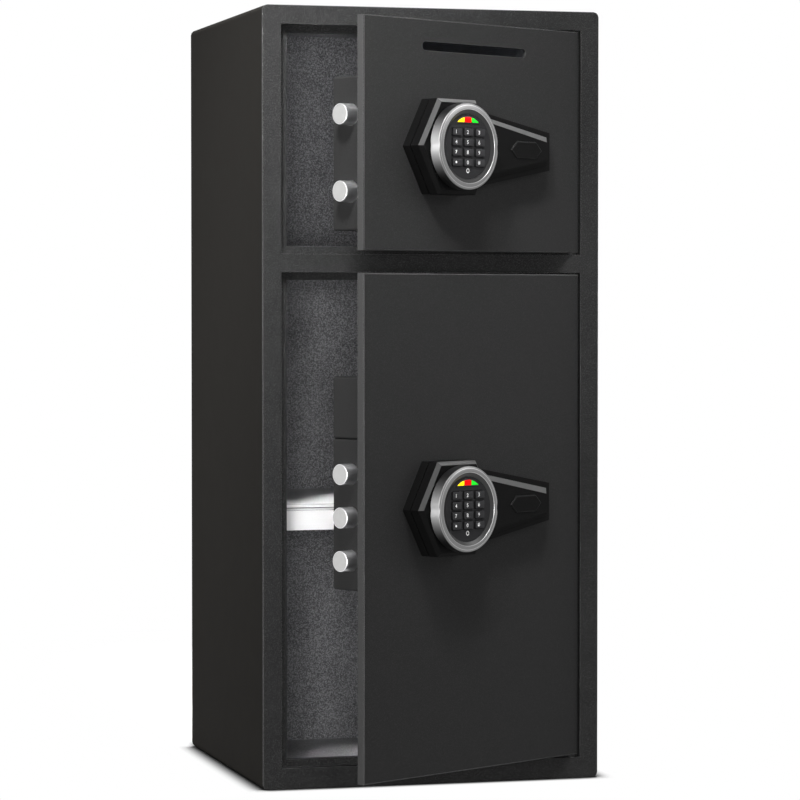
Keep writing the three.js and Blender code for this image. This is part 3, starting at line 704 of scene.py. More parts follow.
def softened(node: str, radius: float, steps: int = 2, tone_share: float = 1.0) -> bpy.types.Mesh:
    """Copies a node's mesh with its seams merged and its sharp edges rounded.

    Args:
        node: The node.
        radius: Radius of the rounding in metres.
        steps: Facets of the rounding.
        tone_share: Share of the fold tone that the rounding shows. That tone is a painted edge highlight, and
            painted shade on the pale shelf.

    Returns:
        The new mesh.
    """
    work = bmesh.new()
    work.from_mesh(frame["nodes"][node].data)
    bmesh.ops.remove_doubles(work, verts=work.verts, dist=SEAM)
    bmesh.ops.dissolve_limit(work, angle_limit=math.radians(FLAT_ANGLE), verts=work.verts, edges=work.edges)
    mesh = mesh_of(work, node + "_soft")
    smooth(mesh, SHARP_ANGLE)
    for _ in range(BEVEL_SLOT + 1):
        mesh.materials.append(None)
    holder = linked(node + "_soft", mesh)
    bevel = holder.modifiers.new("rounding", "BEVEL")
    bevel.width = radius
    bevel.segments = steps
    bevel.limit_method = "ANGLE"
    bevel.angle_limit = math.radians(BEVEL_ANGLE)
    bevel.use_clamp_overlap = True
    bevel.material = BEVEL_SLOT
    weighted = holder.modifiers.new("flat_faces", "WEIGHTED_NORMAL")
    weighted.weight = FLAT_WEIGHT
    weighted.keep_sharp = True
    rounded = baked(holder)
    mark(rounded, lambda face: tone_share * float(face.material_index == BEVEL_SLOT))
    for face in rounded.polygons:
        face.material_index = 0
    return rounded


def mark(mesh: bpy.types.Mesh, share: Callable[[bpy.types.MeshPolygon], float | None]) -> None:
    """Notes a share of fold on the corners of faces, and leaves the faces whose share is None.

    Args:
        mesh: The mesh.
        share: Gives a face's share.
    """
    marks = mesh.attributes.get(FOLD) or mesh.attributes.new(FOLD, "FLOAT", "CORNER")
    for face in mesh.polygons:
        value = share(face)
        if value is not None:
            for corner in face.loop_indices:
                marks.data[corner].value = value


def paint_slope_highlight(mesh: bpy.types.Mesh, front: Vector, low: float = 0.3, high: float = 0.95) -> None:
    """Paints a highlight on the upper faces that slope away from a front as a fold share, the more the more
    they face up.

    Args:
        mesh: The mesh, with its folds noted.
        front: Direction of the front.
        low: Least share of the front's direction in a slope's normal.
        high: Most of it.
    """
    def share(face: bpy.types.MeshPolygon) -> float | None:
        """Gives a face's share."""
        slopes = low < face.normal.dot(front) < high and face.normal.z > 0
        return min(face.normal.z / (1 - low), 1.0) if slopes else None

    mark(mesh, share)


def bridge(work: bmesh.types.BMesh, first: Sequence[bmesh.types.BMVert], second: Sequence[bmesh.types.BMVert]
           ) -> None:
    """Joins two closed loops of as many points by a band of faces."""
    for i, j in zip(range(len(first)), [*range(1, len(first)), 0]):
        work.faces.new((first[i], first[j], second[j], second[i]))


def prism(work: bmesh.types.BMesh, outline: Outline, front: float, rear: float, bevel: float) -> None:
    """Adds an upright outline extruded along Y, with a bevel round its front.

    Args:
        work: The mesh to add to.
        outline: Points in X and Z, anticlockwise seen from the front.
        front: Y of the front face.
        rear: Y of the rear face.
        bevel: Inset and depth of the bevel.
    """
    knee = BEVEL_KNEE * bevel
    loops = []
    for depth, inset in ((rear, 0.0), (front + bevel, 0.0), (front + knee, knee), (front, bevel)):
        loops.append([work.verts.new((x, depth, z)) for x, z in inset_outline(outline, inset)])
    for near, far in zip(loops, loops[1:]):
        bridge(work, near, far)
    work.faces.new(loops[0][::-1])
    work.faces.new(loops[-1])


def inset_outline(outline: Outline, inset: float) -> list[Pair]:
    """Moves each side of an outline inwards.

    Args:
        outline: A convex anticlockwise outline.
        inset: How far its sides move.

    Returns:
        The new outline, with as many points.
    """
    moved = []
    for i, point in enumerate(outline):
        here = Vector(point)
        before = (here - Vector(outline[i - 1])).normalized()
        after = (Vector(outline[(i + 1) % len(outline)]) - here).normalized()
        normal = Vector((-before.y, before.x))
        bisector = normal + Vector((-after.y, after.x))
        moved.append(tuple(here + bisector * (inset / max(bisector.dot(normal), LEAST_BEND))))
    return moved


def rounded_rectangle(width: float, height: float, radius: float, steps: int = 5) -> list[Pair]:
    """Draws a rectangle with round corners about its middle.

    Args:
        width: Its width.
        height: Its height.
        radius: Radius of its corners.
        steps: Facets of a corner.

    Returns:
        The outline, anticlockwise.
    """
    points = []
    for corner in range(4):
        centre_x = (width / 2 - radius) * (1 if corner in (0, 3) else -1)
        centre_z = (height / 2 - radius) * (1 if corner in (0, 1) else -1)
        for step in range(steps + 1):
            angle = math.radians(90 * corner + 90 * step / steps)
            points.append((centre_x + radius * math.cos(angle), centre_z + radius * math.sin(angle)))
    return points


def clipped(outline: Outline, low: float, high: float) -> list[Pair]:
    """Cuts an outline down to what lies between two upright lines.

    Args:
        outline: A convex outline.
        low: X of the left line.
        high: X of the right line.

    Returns:
        The outline of what is left.
    """
    for bound, side in ((low, 1), (high, -1)):
        kept = []
        for i, point in enumerate(outline):
            after = outline[(i + 1) % len(outline)]
            inside = (point[0] - bound) * side >= 0
            if inside:
                kept.append(point)
            if inside != ((after[0] - bound) * side >= 0):
                share = (bound - point[0]) / (after[0] - point[0])
                kept.append((bound, point[1] + share * (after[1] - point[1])))
        outline = kept
    return outline


def circle(work: bmesh.types.BMesh, radius: float, depth: float, sides: int, stretch: float = 1.0
           ) -> list[bmesh.types.BMVert]:
    """Adds the points of a circle about the Y axis.

    Args:
        work: The mesh to add to.
        radius: Its radius.
        depth: Its Y.
        sides: How many points it has.
        stretch: How much taller than wide it is.

    Returns:
        The points.
    """
    points = []
    for side in range(sides):
        turn = 2 * math.pi * side / sides
        points.append(work.verts.new((radius * math.cos(turn), depth, radius * math.sin(turn) * stretch)))
    return points


def lathe(work: bmesh.types.BMesh, profile: Outline, sides: int) -> None:
    """Adds a closed profile turned about the Y axis.

    Args:
        work: The mesh to add to.
        profile: Points of radius and Y, from the axis to the axis.
        sides: Facets of the turn.
    """
    poles = [work.verts.new((0, profile[end][1], 0)) for end in (0, -1)]
    rings = [circle(work, radius, depth, sides) for radius, depth in profile[1:-1]]
    for near, far in zip(rings, rings[1:]):
        bridge(work, near, far)
    for pole, ring in zip(poles, (rings[0], rings[-1])):
        for side in range(sides):
            work.faces.new((pole, ring[side], ring[(side + 1) % sides]))


# Repeats and paths by Geometry Nodes


class Maker(Board):
    """A geometry tree with named number inputs, run on a mesh to give a plain one."""

    def __init__(self, name: str, finish: Finish, **numbers: float | int) -> None:
        """Builds the tree round the shape that a subclass gives.

        Args:
            name: The tree's name.
            finish: Finish of what it makes.
            numbers: The tree's number inputs, with underscores for spaces.
        """
        super().__init__(bpy.data.node_groups.new(name, "GeometryNodeTree"), "GeometryNode")
        face = self.tree.interface
        face.new_socket("Geometry", in_out="INPUT", socket_type="NodeSocketGeometry")
        self.inputs = {}
        for key, value in numbers.items():
            kind = "NodeSocketInt" if isinstance(value, int) else "NodeSocketFloat"
            socket = face.new_socket(key.replace("_", " "), in_out="INPUT", socket_type=kind)
            socket.default_value = value
            self.inputs[key] = socket.identifier
        face.new_socket("Geometry", in_out="OUTPUT", socket_type="NodeSocketGeometry")
        source = self.node("NodeGroupInput").outputs
        real = self.node("RealizeInstances", Geometry=self.shape(source))
        paint = self.node("SetMaterial", Geometry=real.outputs[0], Material=PAINTS.of(finish))
        self.node("NodeGroupOutput", Geometry=paint.outputs[0])

    def shape(self, source: bpy.types.bpy_prop_collection) -> bpy.types.NodeSocket:
        """Adds the nodes that make the shape from the tree's inputs."""
        raise NotImplementedError

    def run(self, mesh: bpy.types.Mesh, **numbers: float | int) -> bpy.types.Mesh:
        """Runs the tree.

        Args:
            mesh: What it runs on.
            numbers: Values of its number inputs.

        Returns:
            The plain mesh that it gives.
        """
        holder = linked(mesh.name, mesh)
        modifier = holder.modifiers.new(self.tree.name, "NODES")
        modifier.node_group = self.tree
        for key, value in numbers.items():
            modifier[self.inputs[key]] = value
        return baked(holder)


class Scatter(Maker):
    """Puts a domed screw head with a cross recess on each point of a mesh."""

    segments = 20
    rings = 10
    bar = (1.1, 0.28)

    def __init__(self, name: str, finish: Finish) -> None:
        """Builds the tree, with the heads' sizes and their turn about Z as its inputs."""
        super().__init__(name, finish, Head_radius=3.2 * MM, Head_height=1.6 * MM, Turn=0.0)

    def shape(self, source: bpy.types.bpy_prop_collection) -> bpy.types.NodeSocket:
        """Flattens a dome, cuts the cross, and puts a turned copy on each point.

        Args:
            source: The tree's inputs by name.

        Returns:
            The geometry.
        """
        radius = source["Head radius"]
        dome = self.node("MeshUVSphere", Segments=self.segments, Rings=self.rings, Radius=radius)
        share = self.node("ShaderNodeMath", {"operation": "DIVIDE"})
        self.feed(share.inputs[0], source["Head height"])
        self.feed(share.inputs[1], radius)
        squash = self.node("ShaderNodeCombineXYZ", X=1.0, Y=share.outputs[0], Z=1.0)
        flat = self.node("Transform", Geometry=dome.outputs["Mesh"], Scale=squash.outputs[0])
        cut = self.node("MeshBoolean", {"operation": "DIFFERENCE"}, Mesh_1=flat.outputs[0],
                        Mesh_2=self.cross(radius))
        turn = self.node("ShaderNodeCombineXYZ", Z=source["Turn"])
        spread = self.node("InstanceOnPoints", Points=source["Geometry"], Instance=cut.outputs["Mesh"],
                           Rotation=turn.outputs[0])
        return spread.outputs[0]

    def cross(self, radius: bpy.types.NodeSocket) -> bpy.types.NodeSocket:
        """Adds the two bars of the recess, which stand out of the head's rear.

        Args:
            radius: Radius of a head.

        Returns:
            The bars.
        """
        joined = self.node("JoinGeometry")
        for long, short in (self.bar, self.bar[::-1]):
            size = self.node("ShaderNodeVectorMath", {"operation": "SCALE"}, Vector=(long, 1.0, short),
                             Scale=radius)
            bar = self.node("MeshCube", Size=size.outputs[0])
            shift = self.node("ShaderNodeCombineXYZ", Y=radius)
            lift = self.node("Transform", Geometry=bar.outputs["Mesh"], Translation=shift.outputs[0])
            self.feed(joined.inputs[0], lift.outputs[0])
        return joined.outputs[0]


class Sweep(Maker):
    """Carries a section's outline along a closed circle about the Z axis."""

    def __init__(self, name: str, finish: Finish) -> None:
        """Builds the tree, with the circle's radius and facets as its inputs."""
        super().__init__(name, finish, Ring_radius=1.0, Facets=3)

    def shape(self, source: bpy.types.bpy_prop_collection) -> bpy.types.NodeSocket:
        """Sweeps the section.

        Args:
            source: The tree's inputs by name.

        Returns:
            The geometry.
        """
        section = self.node("MeshToCurve", Mesh=source["Geometry"])
        path = self.node("CurvePrimitiveCircle", Radius=source["Ring radius"], Resolution=source["Facets"])
        skin = self.node("CurveToMesh", Curve=path.outputs["Curve"])
        self.feed(skin.inputs["Profile Curve"], section.outputs["Curve"])
        return skin.outputs["Mesh"]


# Places read from the frame


@dataclass(frozen=True)
class LockFrame:
    """The frame of one door's lock: X across the door, Y into it, Z up, origin on the knob's axis."""

    leaf: Leaf
    matrix: Matrix

    @classmethod
    def of(cls, leaf: Leaf) -> "LockFrame":
        """Reads the frame of a door's lock from its knob's joint.

        Args:
            leaf: The door.

        Returns:
            Its frame.
        """
        turn = next(joint for joint in frame["joints"] if joint["name"] == f"{leaf.value}_knob_turn")
        up = Vector((0, 0, 1))
        into = Vector(turn["axis"]).normalized()
        columns = Matrix((into.cross(up), into, up)).transposed().to_4x4()
        return cls(leaf, Matrix.Translation(Vector(turn["pos_m"])) @ columns)

    def box(self, node: str) -> tuple[Vector, Vector]:
        """Gives a node's lowest and highest corners in this frame."""
        back = self.matrix.inverted()
        return corners([back @ vertex.co for vertex in frame["nodes"][node].data.vertices])

    def name(self, part: str) -> str:
        """Gives the full name of a part of this door."""
        return f"{self.leaf.value}_{part}"

    def across(self) -> Vector:
        """Gives the direction across the door, away from its free edge."""
        return self.matrix.to_3x3().col[0]

    def into(self) -> Vector:
        """Gives the direction into the door."""
        return self.matrix.to_3x3().col[1]

    def door_turn(self) -> float:
        """Gives the angle about Z from the row frame to this frame."""
        return math.atan2(self.matrix[1][0], self.matrix[0][0])


# Sub-assemblies


@dataclass
class Cabinet:
    """The steel box with its front frame, divider, linings and shelf."""

    fold_rounding: float = 0.6 * MM
    frame_rounding: float = 1.2 * MM
    felt_rounding: float = 1.2 * MM

    def build(self) -> None:
        """Dresses the sheet metal and the felt."""
        for node in ("cabinet_shell", "back_panel", "divider_panel"):
            dress(node, "coated", SHELL_COAT, "cabinet", self.fold_rounding)
        dress("front_frame", "coated", FRAME_COAT, "cabinet", self.frame_rounding)
        for node in ("upper_lining", "lower_lining"):
            dress(node, "felt", FELT, "cabinet", self.felt_rounding)
        dress("shelf", "coated", SHELF_COAT, "shelf", self.fold_rounding)


@dataclass
class DoorLeaf:
    """One door: its panel, and the covers and the chute behind it."""

    lock: LockFrame
    panel_rounding: float = 0.7 * MM
    cover_rounding: float = 1.2 * MM
    painted_edge_light: float = 0.09
    edge_facing: float = 0.9
    screw_radius: float = 3.4 * MM
    screw_height: float = 1.8 * MM
    screw_inset: float = 26 * MM
    screw_shares: tuple[float, ...] = (0.0, 0.5, 1.0)
    flange_half: float = 4 * MM
    sheet: float = 1.5 * MM

    def build(self, scatter: Scatter) -> None:
        """Dresses the panel and what is fixed to its back.

        Args:
            scatter: Makes the screws.
        """
        body = self.lock.name("door")
        panel = self.lock.name("door_panel")
        leaf = softened(panel, self.panel_rounding)
        free = -self.lock.across()
        # Painted light: the free edge's faces take a share of the pale fold tone, which brightens that edge.
        mark(leaf, lambda face: self.painted_edge_light if face.normal.dot(free) > self.edge_facing else None)
        add_piece(panel + "_coated", leaf, DOOR_COAT, body, [panel])
        dress(self.lock.name("lock_cover"), "coated", COVER_COAT, body, self.cover_rounding)
        upper = self.lock.leaf is Leaf.UPPER
        other, finish = ("deposit_chute", ZINC) if upper else ("battery_box", COVER_COAT)
        dress(self.lock.name(other), "finished", finish, body, self.cover_rounding / 2)
        self.screws(scatter, body, "lock_cover" if upper else other)

    def screws(self, scatter: Scatter, body: str, topmost: str) -> None:
        """Sets a row of screws on the lowest and the highest cover flange.

        Args:
            scatter: Makes the screws.
            body: The body that they move with.
            topmost: The part whose top flange is the highest.
        """
        low, high = self.lock.box(self.lock.name("lock_cover"))
        top = self.lock.box(self.lock.name(topmost))[1].z
        span = high.x - low.x - 2 * self.screw_inset
        places = []
        for z in (low.z + self.flange_half, top - self.flange_half):
            for share in self.screw_shares:
                x = low.x + self.screw_inset + share * span
                places.append(self.lock.matrix @ Vector((x, low.y + self.sheet, z)))
        name = self.lock.name("cover_screws")
        points = bpy.data.meshes.new(name + "_points")
        points.from_pydata(places, [], [])
        heads = scatter.run(points, Head_radius=self.screw_radius, Head_height=self.screw_height,
                            Turn=self.lock.door_turn())
        smooth(heads, CREASE)
        add_piece(name, heads, ZINC, body)


@dataclass
class LockHousing:
    """The moulded housing on the door's front, with its key cover and override cylinder."""

    lock: LockFrame
    edge: float = 0.8 * MM
    cap_edge: float = 0.5 * MM
    metal_edge: float = 0.25 * MM
    edge_steps: int = 3
    painted_edge_light: float = 0.15

    def build(self) -> None:
        """Dresses the housing, the key cover, the cylinder and the solenoid."""
        door = self.lock.name("door")
        housing = self.lock.name("lock_housing")
        shell = softened(housing, self.edge, self.edge_steps, self.painted_edge_light)
        # Painted highlight: a small share on all the housing's rounded edges, and more on its upward slopes.
        paint_slope_highlight(shell, -self.lock.into())
        add_piece(housing + "_moulded", shell, HOUSING, door, [housing])
        cover = self.lock.name("key_cover")
        cap = softened(cover, self.cap_edge, self.edge_steps, self.painted_edge_light)
        add_piece(cover + "_moulded", cap, HOUSING, cover, [cover])
        cylinder = self.lock.name("key_cylinder")
        dress(cylinder, "turned", BRASS, cylinder, self.metal_edge)
        dress(self.lock.name("solenoid"), "plated", ZINC, door, self.metal_edge)


@dataclass
class BoltWork:
    """The bolts and the bar that carries them."""

    lock: LockFrame
    facets: int = 64
    bar_edge: float = 0.4 * MM
    chamfer: float = 1.0 * MM
    knee: float = 0.3 * MM
    face_proud: float = 0.1 * MM

    def build(self, bolts: int) -> None:
        """Turns the bolts and dresses the bar.

        Args:
            bolts: How many bolts the door has.
        """
        body = self.lock.name("bolts")
        dress(self.lock.name("bolt_bar"), "plated", ZINC, body, self.bar_edge)
        for number in range(1, bolts + 1):
            self.bolt(self.lock.name(f"bolt_{number}"), body)

    def bolt(self, node: str, body: str) -> None:
        """Turns one bolt and the satin face on its end.

        Args:
            node: The bolt's node.
            body: The body that it moves with.
        """
        low, high = self.lock.box(node)
        radius = (high.z - low.z) / 2
        length = high.x - low.x
        tip = radius - self.chamfer
        proud = self.face_proud
        turned = [(0.0, 0.0), (tip, 0.0), (radius - self.knee, self.knee), (radius, self.chamfer),
                  (radius, length), (0.0, length)]
        face = [(0.0, -proud), (tip - proud, -proud), (tip, 0.0), (tip, proud), (0.0, proud)]
        end = Matrix.Translation((low.x, (low.y + high.y) / 2, (low.z + high.z) / 2))
        place = self.lock.matrix @ end @ Matrix.Rotation(-math.pi / 2, 4, "Z")
        shaft = mesh_from(node, lambda work: lathe(work, turned, self.facets), place)
        add_piece(node + "_turned", shaft, CHROME, body, [node])
        disc = mesh_from(node + "_face", lambda work: lathe(work, face, self.facets), place)
        add_piece(node + "_face", disc, BOLT_END, body)


@dataclass
class Knob:
    """The turning ring with its keypad plate and its small ring mark."""

    lock: LockFrame
    facets: int = 160
    face_radius: float = 45.4 * MM
    bead: float = 0.5 * MM
    rim_radius: float = 50.8 * MM
    rim_drop: float = 1.3 * MM
    crown: float = 0.6 * MM
    crown_steps: int = 4
    rim_rounding: float = 0.4 * MM
    rear_taper: float = 1.5 * MM
    crease: float = 15.0
    web: float = 3.0 * MM
    bore_gap: float = 0.3 * MM
    scallop_depth: float = 1.4 * MM
    scallop_half: float = 8.0 * MM
    scallop_reach: float = 3.0 * MM
    grip_highlight_angle: float = math.radians(50.0)
    grip_highlight_fade: float = 1.5
    plate_edge: float = 0.25 * MM
    spindle_edge: float = 0.3 * MM
    mark_radius: float = 1.7 * MM
    mark_width: float = 1.0 * MM
    mark_height: float = 0.08 * MM
    mark_stretch: float = 1.1
    mark_sides: int = 32
    mark_drop: float = 30.0 * MM

    def build(self, sweep: Sweep) -> None:
        """Makes the ring, the plate, the window, the keys and the spindle.

        Args:
            sweep: Makes the ring.
        """
        body = self.lock.name("knob")
        self.ring(sweep, body)
        dress(self.lock.name("keypad_plate"), "moulded", PAD, body, self.plate_edge)
        self.ring_mark(body)
        StatusWindow(self.lock).build(body)
        Keys(self.lock).build()
        dress(self.lock.name("spindle"), "plated", ZINC, body, self.spindle_edge)

    def ring(self, sweep: Sweep, body: str) -> None:
        """Sweeps the ring's section round the axis, closes its web and presses in the scallops.

        Args:
            sweep: Makes the ring.
            body: The body that it moves with.
        """
        node = self.lock.name("knob")
        low, high = self.lock.box(node)
        pad_low, pad_high = self.lock.box(self.lock.name("keypad_plate"))
        radius = (high.z - low.z) / 2
        depth = high.y - low.y
        bore = (pad_high.z - pad_low.z) / 2 + self.bore_gap
        middle = (radius + bore) / 2
        inner = self.face_radius + self.bead
        shares = [step / self.crown_steps for step in range(self.crown_steps + 1)]
        section = [
            (bore, depth), (bore, pad_low.y - low.y), (self.face_radius, self.bead),
            *((inner + share * (self.rim_radius - inner), self.crown * share ** 2) for share in shares),
            (radius - self.rim_rounding, self.rim_drop), (radius, self.rim_drop + self.rim_rounding),
            (radius, depth - self.rear_taper), (radius - self.rear_taper, depth),
        ]
        outline = bpy.data.meshes.new(node + "_section")
        edges = [(i, (i + 1) % len(section)) for i in range(len(section))]
        outline.from_pydata([(reach - middle, back, 0.0) for reach, back in section], edges, [])
        work = bmesh.new()
        work.from_mesh(sweep.run(outline, Ring_radius=middle, Facets=self.facets))
        self.close_web(work, bore, depth)
        self.note_zones(work)
        self.press_scallops(work, radius)
        stand = Matrix.Translation((0, low.y, 0)) @ Matrix.Rotation(math.pi / 2, 4, "X")
        bmesh.ops.transform(work, matrix=self.lock.matrix @ stand, verts=work.verts)
        bmesh.ops.recalc_face_normals(work, faces=work.faces)
        mesh = mesh_of(work, node + "_turned")
        smooth(mesh, self.crease)
        add_piece(node + "_turned", mesh, SATIN, body, [node])

    def close_web(self, work: bmesh.types.BMesh, bore: float, depth: float) -> None:
        """Adds the disc that closes the ring's rear.

        Args:
            work: The ring's mesh, about the Z axis.
            bore: Radius of the ring's bore.
            depth: The ring's depth.
        """
        disc = bmesh.new()
        reach = bore + self.bore_gap
        front, rear = depth - self.web, depth - self.bore_gap
        profile = [(0.0, front), (bore / 2, front), (reach, front), (reach, rear), (0.0, rear)]
        lathe(disc, profile, self.facets)
        bmesh.ops.transform(disc, matrix=Matrix.Rotation(-math.pi / 2, 4, "X"), verts=disc.verts)
        spare = mesh_of(disc, "web")
        work.from_mesh(spare)
        bpy.data.meshes.remove(spare)

    def note_zones(self, work: bmesh.types.BMesh) -> None:
        """Notes each point's radius, and how near it is to three and nine o'clock, where the pale grips paint
        the wall's highlight.

        Args:
            work: The ring's mesh, about the Z axis.
        """
        radius_note = work.verts.layers.float.new(RADIUS)
        grip_highlight_note = work.verts.layers.float.new(GRIP_HIGHLIGHT)
        for vertex in work.verts:
            reach = math.hypot(vertex.co.x, vertex.co.y)
            turn = math.asin(abs(vertex.co.y) / max(reach, MM))
            vertex[radius_note] = reach
            vertex[grip_highlight_note] = max(0.0, 1.0 - turn / self.grip_highlight_angle) ** self.grip_highlight_fade

    def press_scallops(self, work: bmesh.types.BMesh, radius: float) -> None:
        """Presses a shallow finger scallop into the ring's side at three and nine o'clock.

        Args:
            work: The ring's mesh, about the Z axis.
            radius: The ring's radius.
        """
        inner = radius - self.scallop_reach
        for vertex in work.verts:
            reach = math.hypot(vertex.co.x, vertex.co.y)
            near = abs(vertex.co.y) / self.scallop_half
            if reach > inner and near < 1.0:
                share = math.cos(near * math.pi / 2) ** 2 * (reach - inner) / self.scallop_reach
                vertex.co.x *= 1.0 - share * self.scallop_depth / reach

    def ring_mark(self, body: str) -> None:
        """Prints the small ring below the keys.

        Args:
            body: The body that it moves with.
        """
        inner, outer = self.mark_radius, self.mark_radius + self.mark_width
        section = [(inner, 0.0), (outer, 0.0), (outer, -self.mark_height), (inner, -self.mark_height)]

        def fill(work: bmesh.types.BMesh) -> None:
            """Adds the flat ring.

            Args:
                work: The mesh to add to.
            """
            sides, stretch = self.mark_sides, self.mark_stretch
            loops = [circle(work, radius, depth, sides, stretch) for radius, depth in section]
            for near, far in zip(loops, loops[1:] + loops[:1]):
                bridge(work, near, far)

        front = self.lock.box(self.lock.name("keypad_plate"))[0].y
        place = self.lock.matrix @ Matrix.Translation((0, front, -self.mark_drop))
        add_piece(self.lock.name("ring_mark"), mesh_from("ring_mark", fill, place), INK, body)


@dataclass
class StatusWindow:
    """The arched black bezel above the keys, with its three coloured lenses."""

    lock: LockFrame
    flange: float = 0.9 * MM
    bezel_edge: float = 0.3 * MM
    border: float = 1.3 * MM
    gap: float = 1.0 * MM
    lens_proud: float = 0.35 * MM
    lens_depth: float = 0.1 * MM
    lens_edge: float = 0.25 * MM
    end_height: float = 2.5 * MM
    least_height: float = 0.2 * MM
    steps: int = 18

    def build(self, body: str) -> None:
        """Makes the bezel and the lenses.

        Args:
            body: The body that they move with.
        """
        node = self.lock.name("status_window")
        low, high = self.lock.box(node)
        whole = self.arch(low, high, 0.0)
        self.add(f"{node}_bezel", whole, (low.y, high.y), self.bezel_edge, BEZEL, body, [node])
        left = low.x + self.flange + self.border
        each = (high.x - self.flange - self.border - left - 2 * self.gap) / len(Lamp)
        inside = self.arch(low, high, self.border)
        depths = (low.y - self.lens_proud, low.y + self.lens_depth)
        for number, lamp in enumerate(Lamp):
            start = left + number * (each + self.gap)
            outline = clipped(inside, start, start + each)
            self.add(f"{node}_{lamp.value}", outline, depths, self.lens_edge, LENSES[lamp], body)

    def add(self, name: str, outline: Outline, depths: Pair, edge: float, finish: Finish, body: str,
            stands_for: Sequence[str] = ()) -> None:
        """Adds one upright piece between two depths, with a bevel round its front."""
        mesh = mesh_from(name, lambda work: prism(work, outline, *depths, edge), self.lock.matrix)
        add_piece(name, mesh, finish, body, stands_for)

    def arch(self, low: Vector, high: Vector, border: float) -> list[Pair]:
        """Draws the window, with its top arched, inside its hidden flange.

        Args:
            low: The node's lowest corner.
            high: Its highest corner.
            border: How far the outline is inset.

        Returns:
            The outline.
        """
        left, right = low.x + self.flange, high.x - self.flange
        foot, top = low.z + self.flange, high.z - self.flange
        half = (right - left) / 2
        middle = (right + left) / 2
        rise = top - foot - self.end_height
        radius = (half * half + rise * rise) / (2 * rise)
        inner = half - border
        foot += border
        points = [(middle - inner, foot), (middle + inner, foot)]
        for step in range(self.steps + 1):
            x = inner - 2 * inner * step / self.steps
            z = top - radius + math.sqrt((radius - border) ** 2 - x * x)
            points.append((middle + x, max(z, foot + self.least_height)))
        return points


@dataclass
class Keys:
    """The twelve rubber keys with their printed signs."""

    lock: LockFrame
    signs: dict[str, str] = field(default_factory=lambda: {
        **{digit: digit for digit in "123456789"}, "star": "*", "0": "0", "hash": "#"})
    flange: float = 0.9 * MM
    corner: float = 1.3 * MM
    bevel: float = 0.7 * MM
    wall_facing: float = 0.5
    sign_height: float = 6.6 * MM
    sign_weight: float = 0.05 * MM
    sign_half: float = 0.03 * MM
    sign_lift: float = 0.06 * MM
    sign_shift: float = 2.4 * MM
    curve_steps: int = 3
    dot_radius: float = 1.5 * MM
    dot_sides: int = 24

    def build(self) -> None:
        """Makes each key, with painted shade on its side walls, and prints its sign."""
        for label, text in self.signs.items():
            node = self.lock.name(f"key_{label}")
            low, high = self.lock.box(node)
            width = high.x - low.x - 2 * self.flange
            height = high.z - low.z - 2 * self.flange
            outline = rounded_rectangle(width, height, self.corner)
            middle = Matrix.Translation(((low.x + high.x) / 2, 0, (low.z + high.z) / 2))
            place = self.lock.matrix @ middle
            cap = mesh_from(node, lambda work: prism(work, outline, low.y, high.y, self.bevel), place)
            # The side walls take the whole fold share, which paints them in shade.
            mark(cap, lambda face: float(abs(face.normal.dot(self.lock.into())) < self.wall_facing))
            add_piece(node + "_cap", cap, KEY, node, [node])
            face = place @ Matrix.Translation((-self.sign_shift, low.y - self.sign_lift, 0))
            sign = self.dot(face) if text == "*" else self.sign(text, face)
            add_piece(node + "_sign", sign, INK, node)

    def dot(self, place: Matrix) -> bpy.types.Mesh:
        """Makes the round dot of the star key as a thin mesh.

        Args:
            place: Frame of the key's front.

        Returns:
            The mesh.
        """
        radius, lift = self.dot_radius, self.sign_lift
        profile = [(0.0, 0.0), (radius, 0.0), (radius, lift), (0.0, lift)]
        return mesh_from("dot", lambda work: lathe(work, profile, self.dot_sides), place)

    def sign(self, text: str, place: Matrix) -> bpy.types.Mesh:
        """Makes a printed sign as a thin mesh.

        Args:
            text: The sign.
            place: Frame whose X runs along the text and whose Z is up.

        Returns:
            The mesh.
        """
        curve = bpy.data.curves.new("sign", "FONT")
        curve.body = text
        curve.size = self.sign_height
        curve.offset = self.sign_weight
        curve.align_x = "CENTER"
        curve.align_y = "CENTER"
        curve.extrude = self.sign_half
        curve.resolution_u = self.curve_steps
        mesh = baked(linked("sign", curve))
        low, high = corners([vertex.co for vertex in mesh.vertices])
        middle = (low + high) / 2
        mesh.transform(Matrix.Translation((-middle.x, -middle.y, 0)))
        mesh.transform(place @ Matrix.Rotation(math.pi / 2, 4, "X"))
        return mesh


# Stage, light and camera


@dataclass(frozen=True)
class SoftBox:
    """One soft square lamp that faces a point."""

    name: str
    place: Point
    target: Point
    size: float
    watts: float
    spread: float = 180.0

    def build(self) -> None:
        """Hangs the lamp."""
        data = bpy.data.lights.new(self.name, "AREA")
        data.size = self.size
        data.energy = self.watts
        data.spread = math.radians(self.spread)
        lamp = linked(self.name, data)
        lamp.location = self.place
        lamp.rotation_euler = (Vector(self.target) - Vector(self.place)).to_track_quat("-Z", "Y").to_euler()


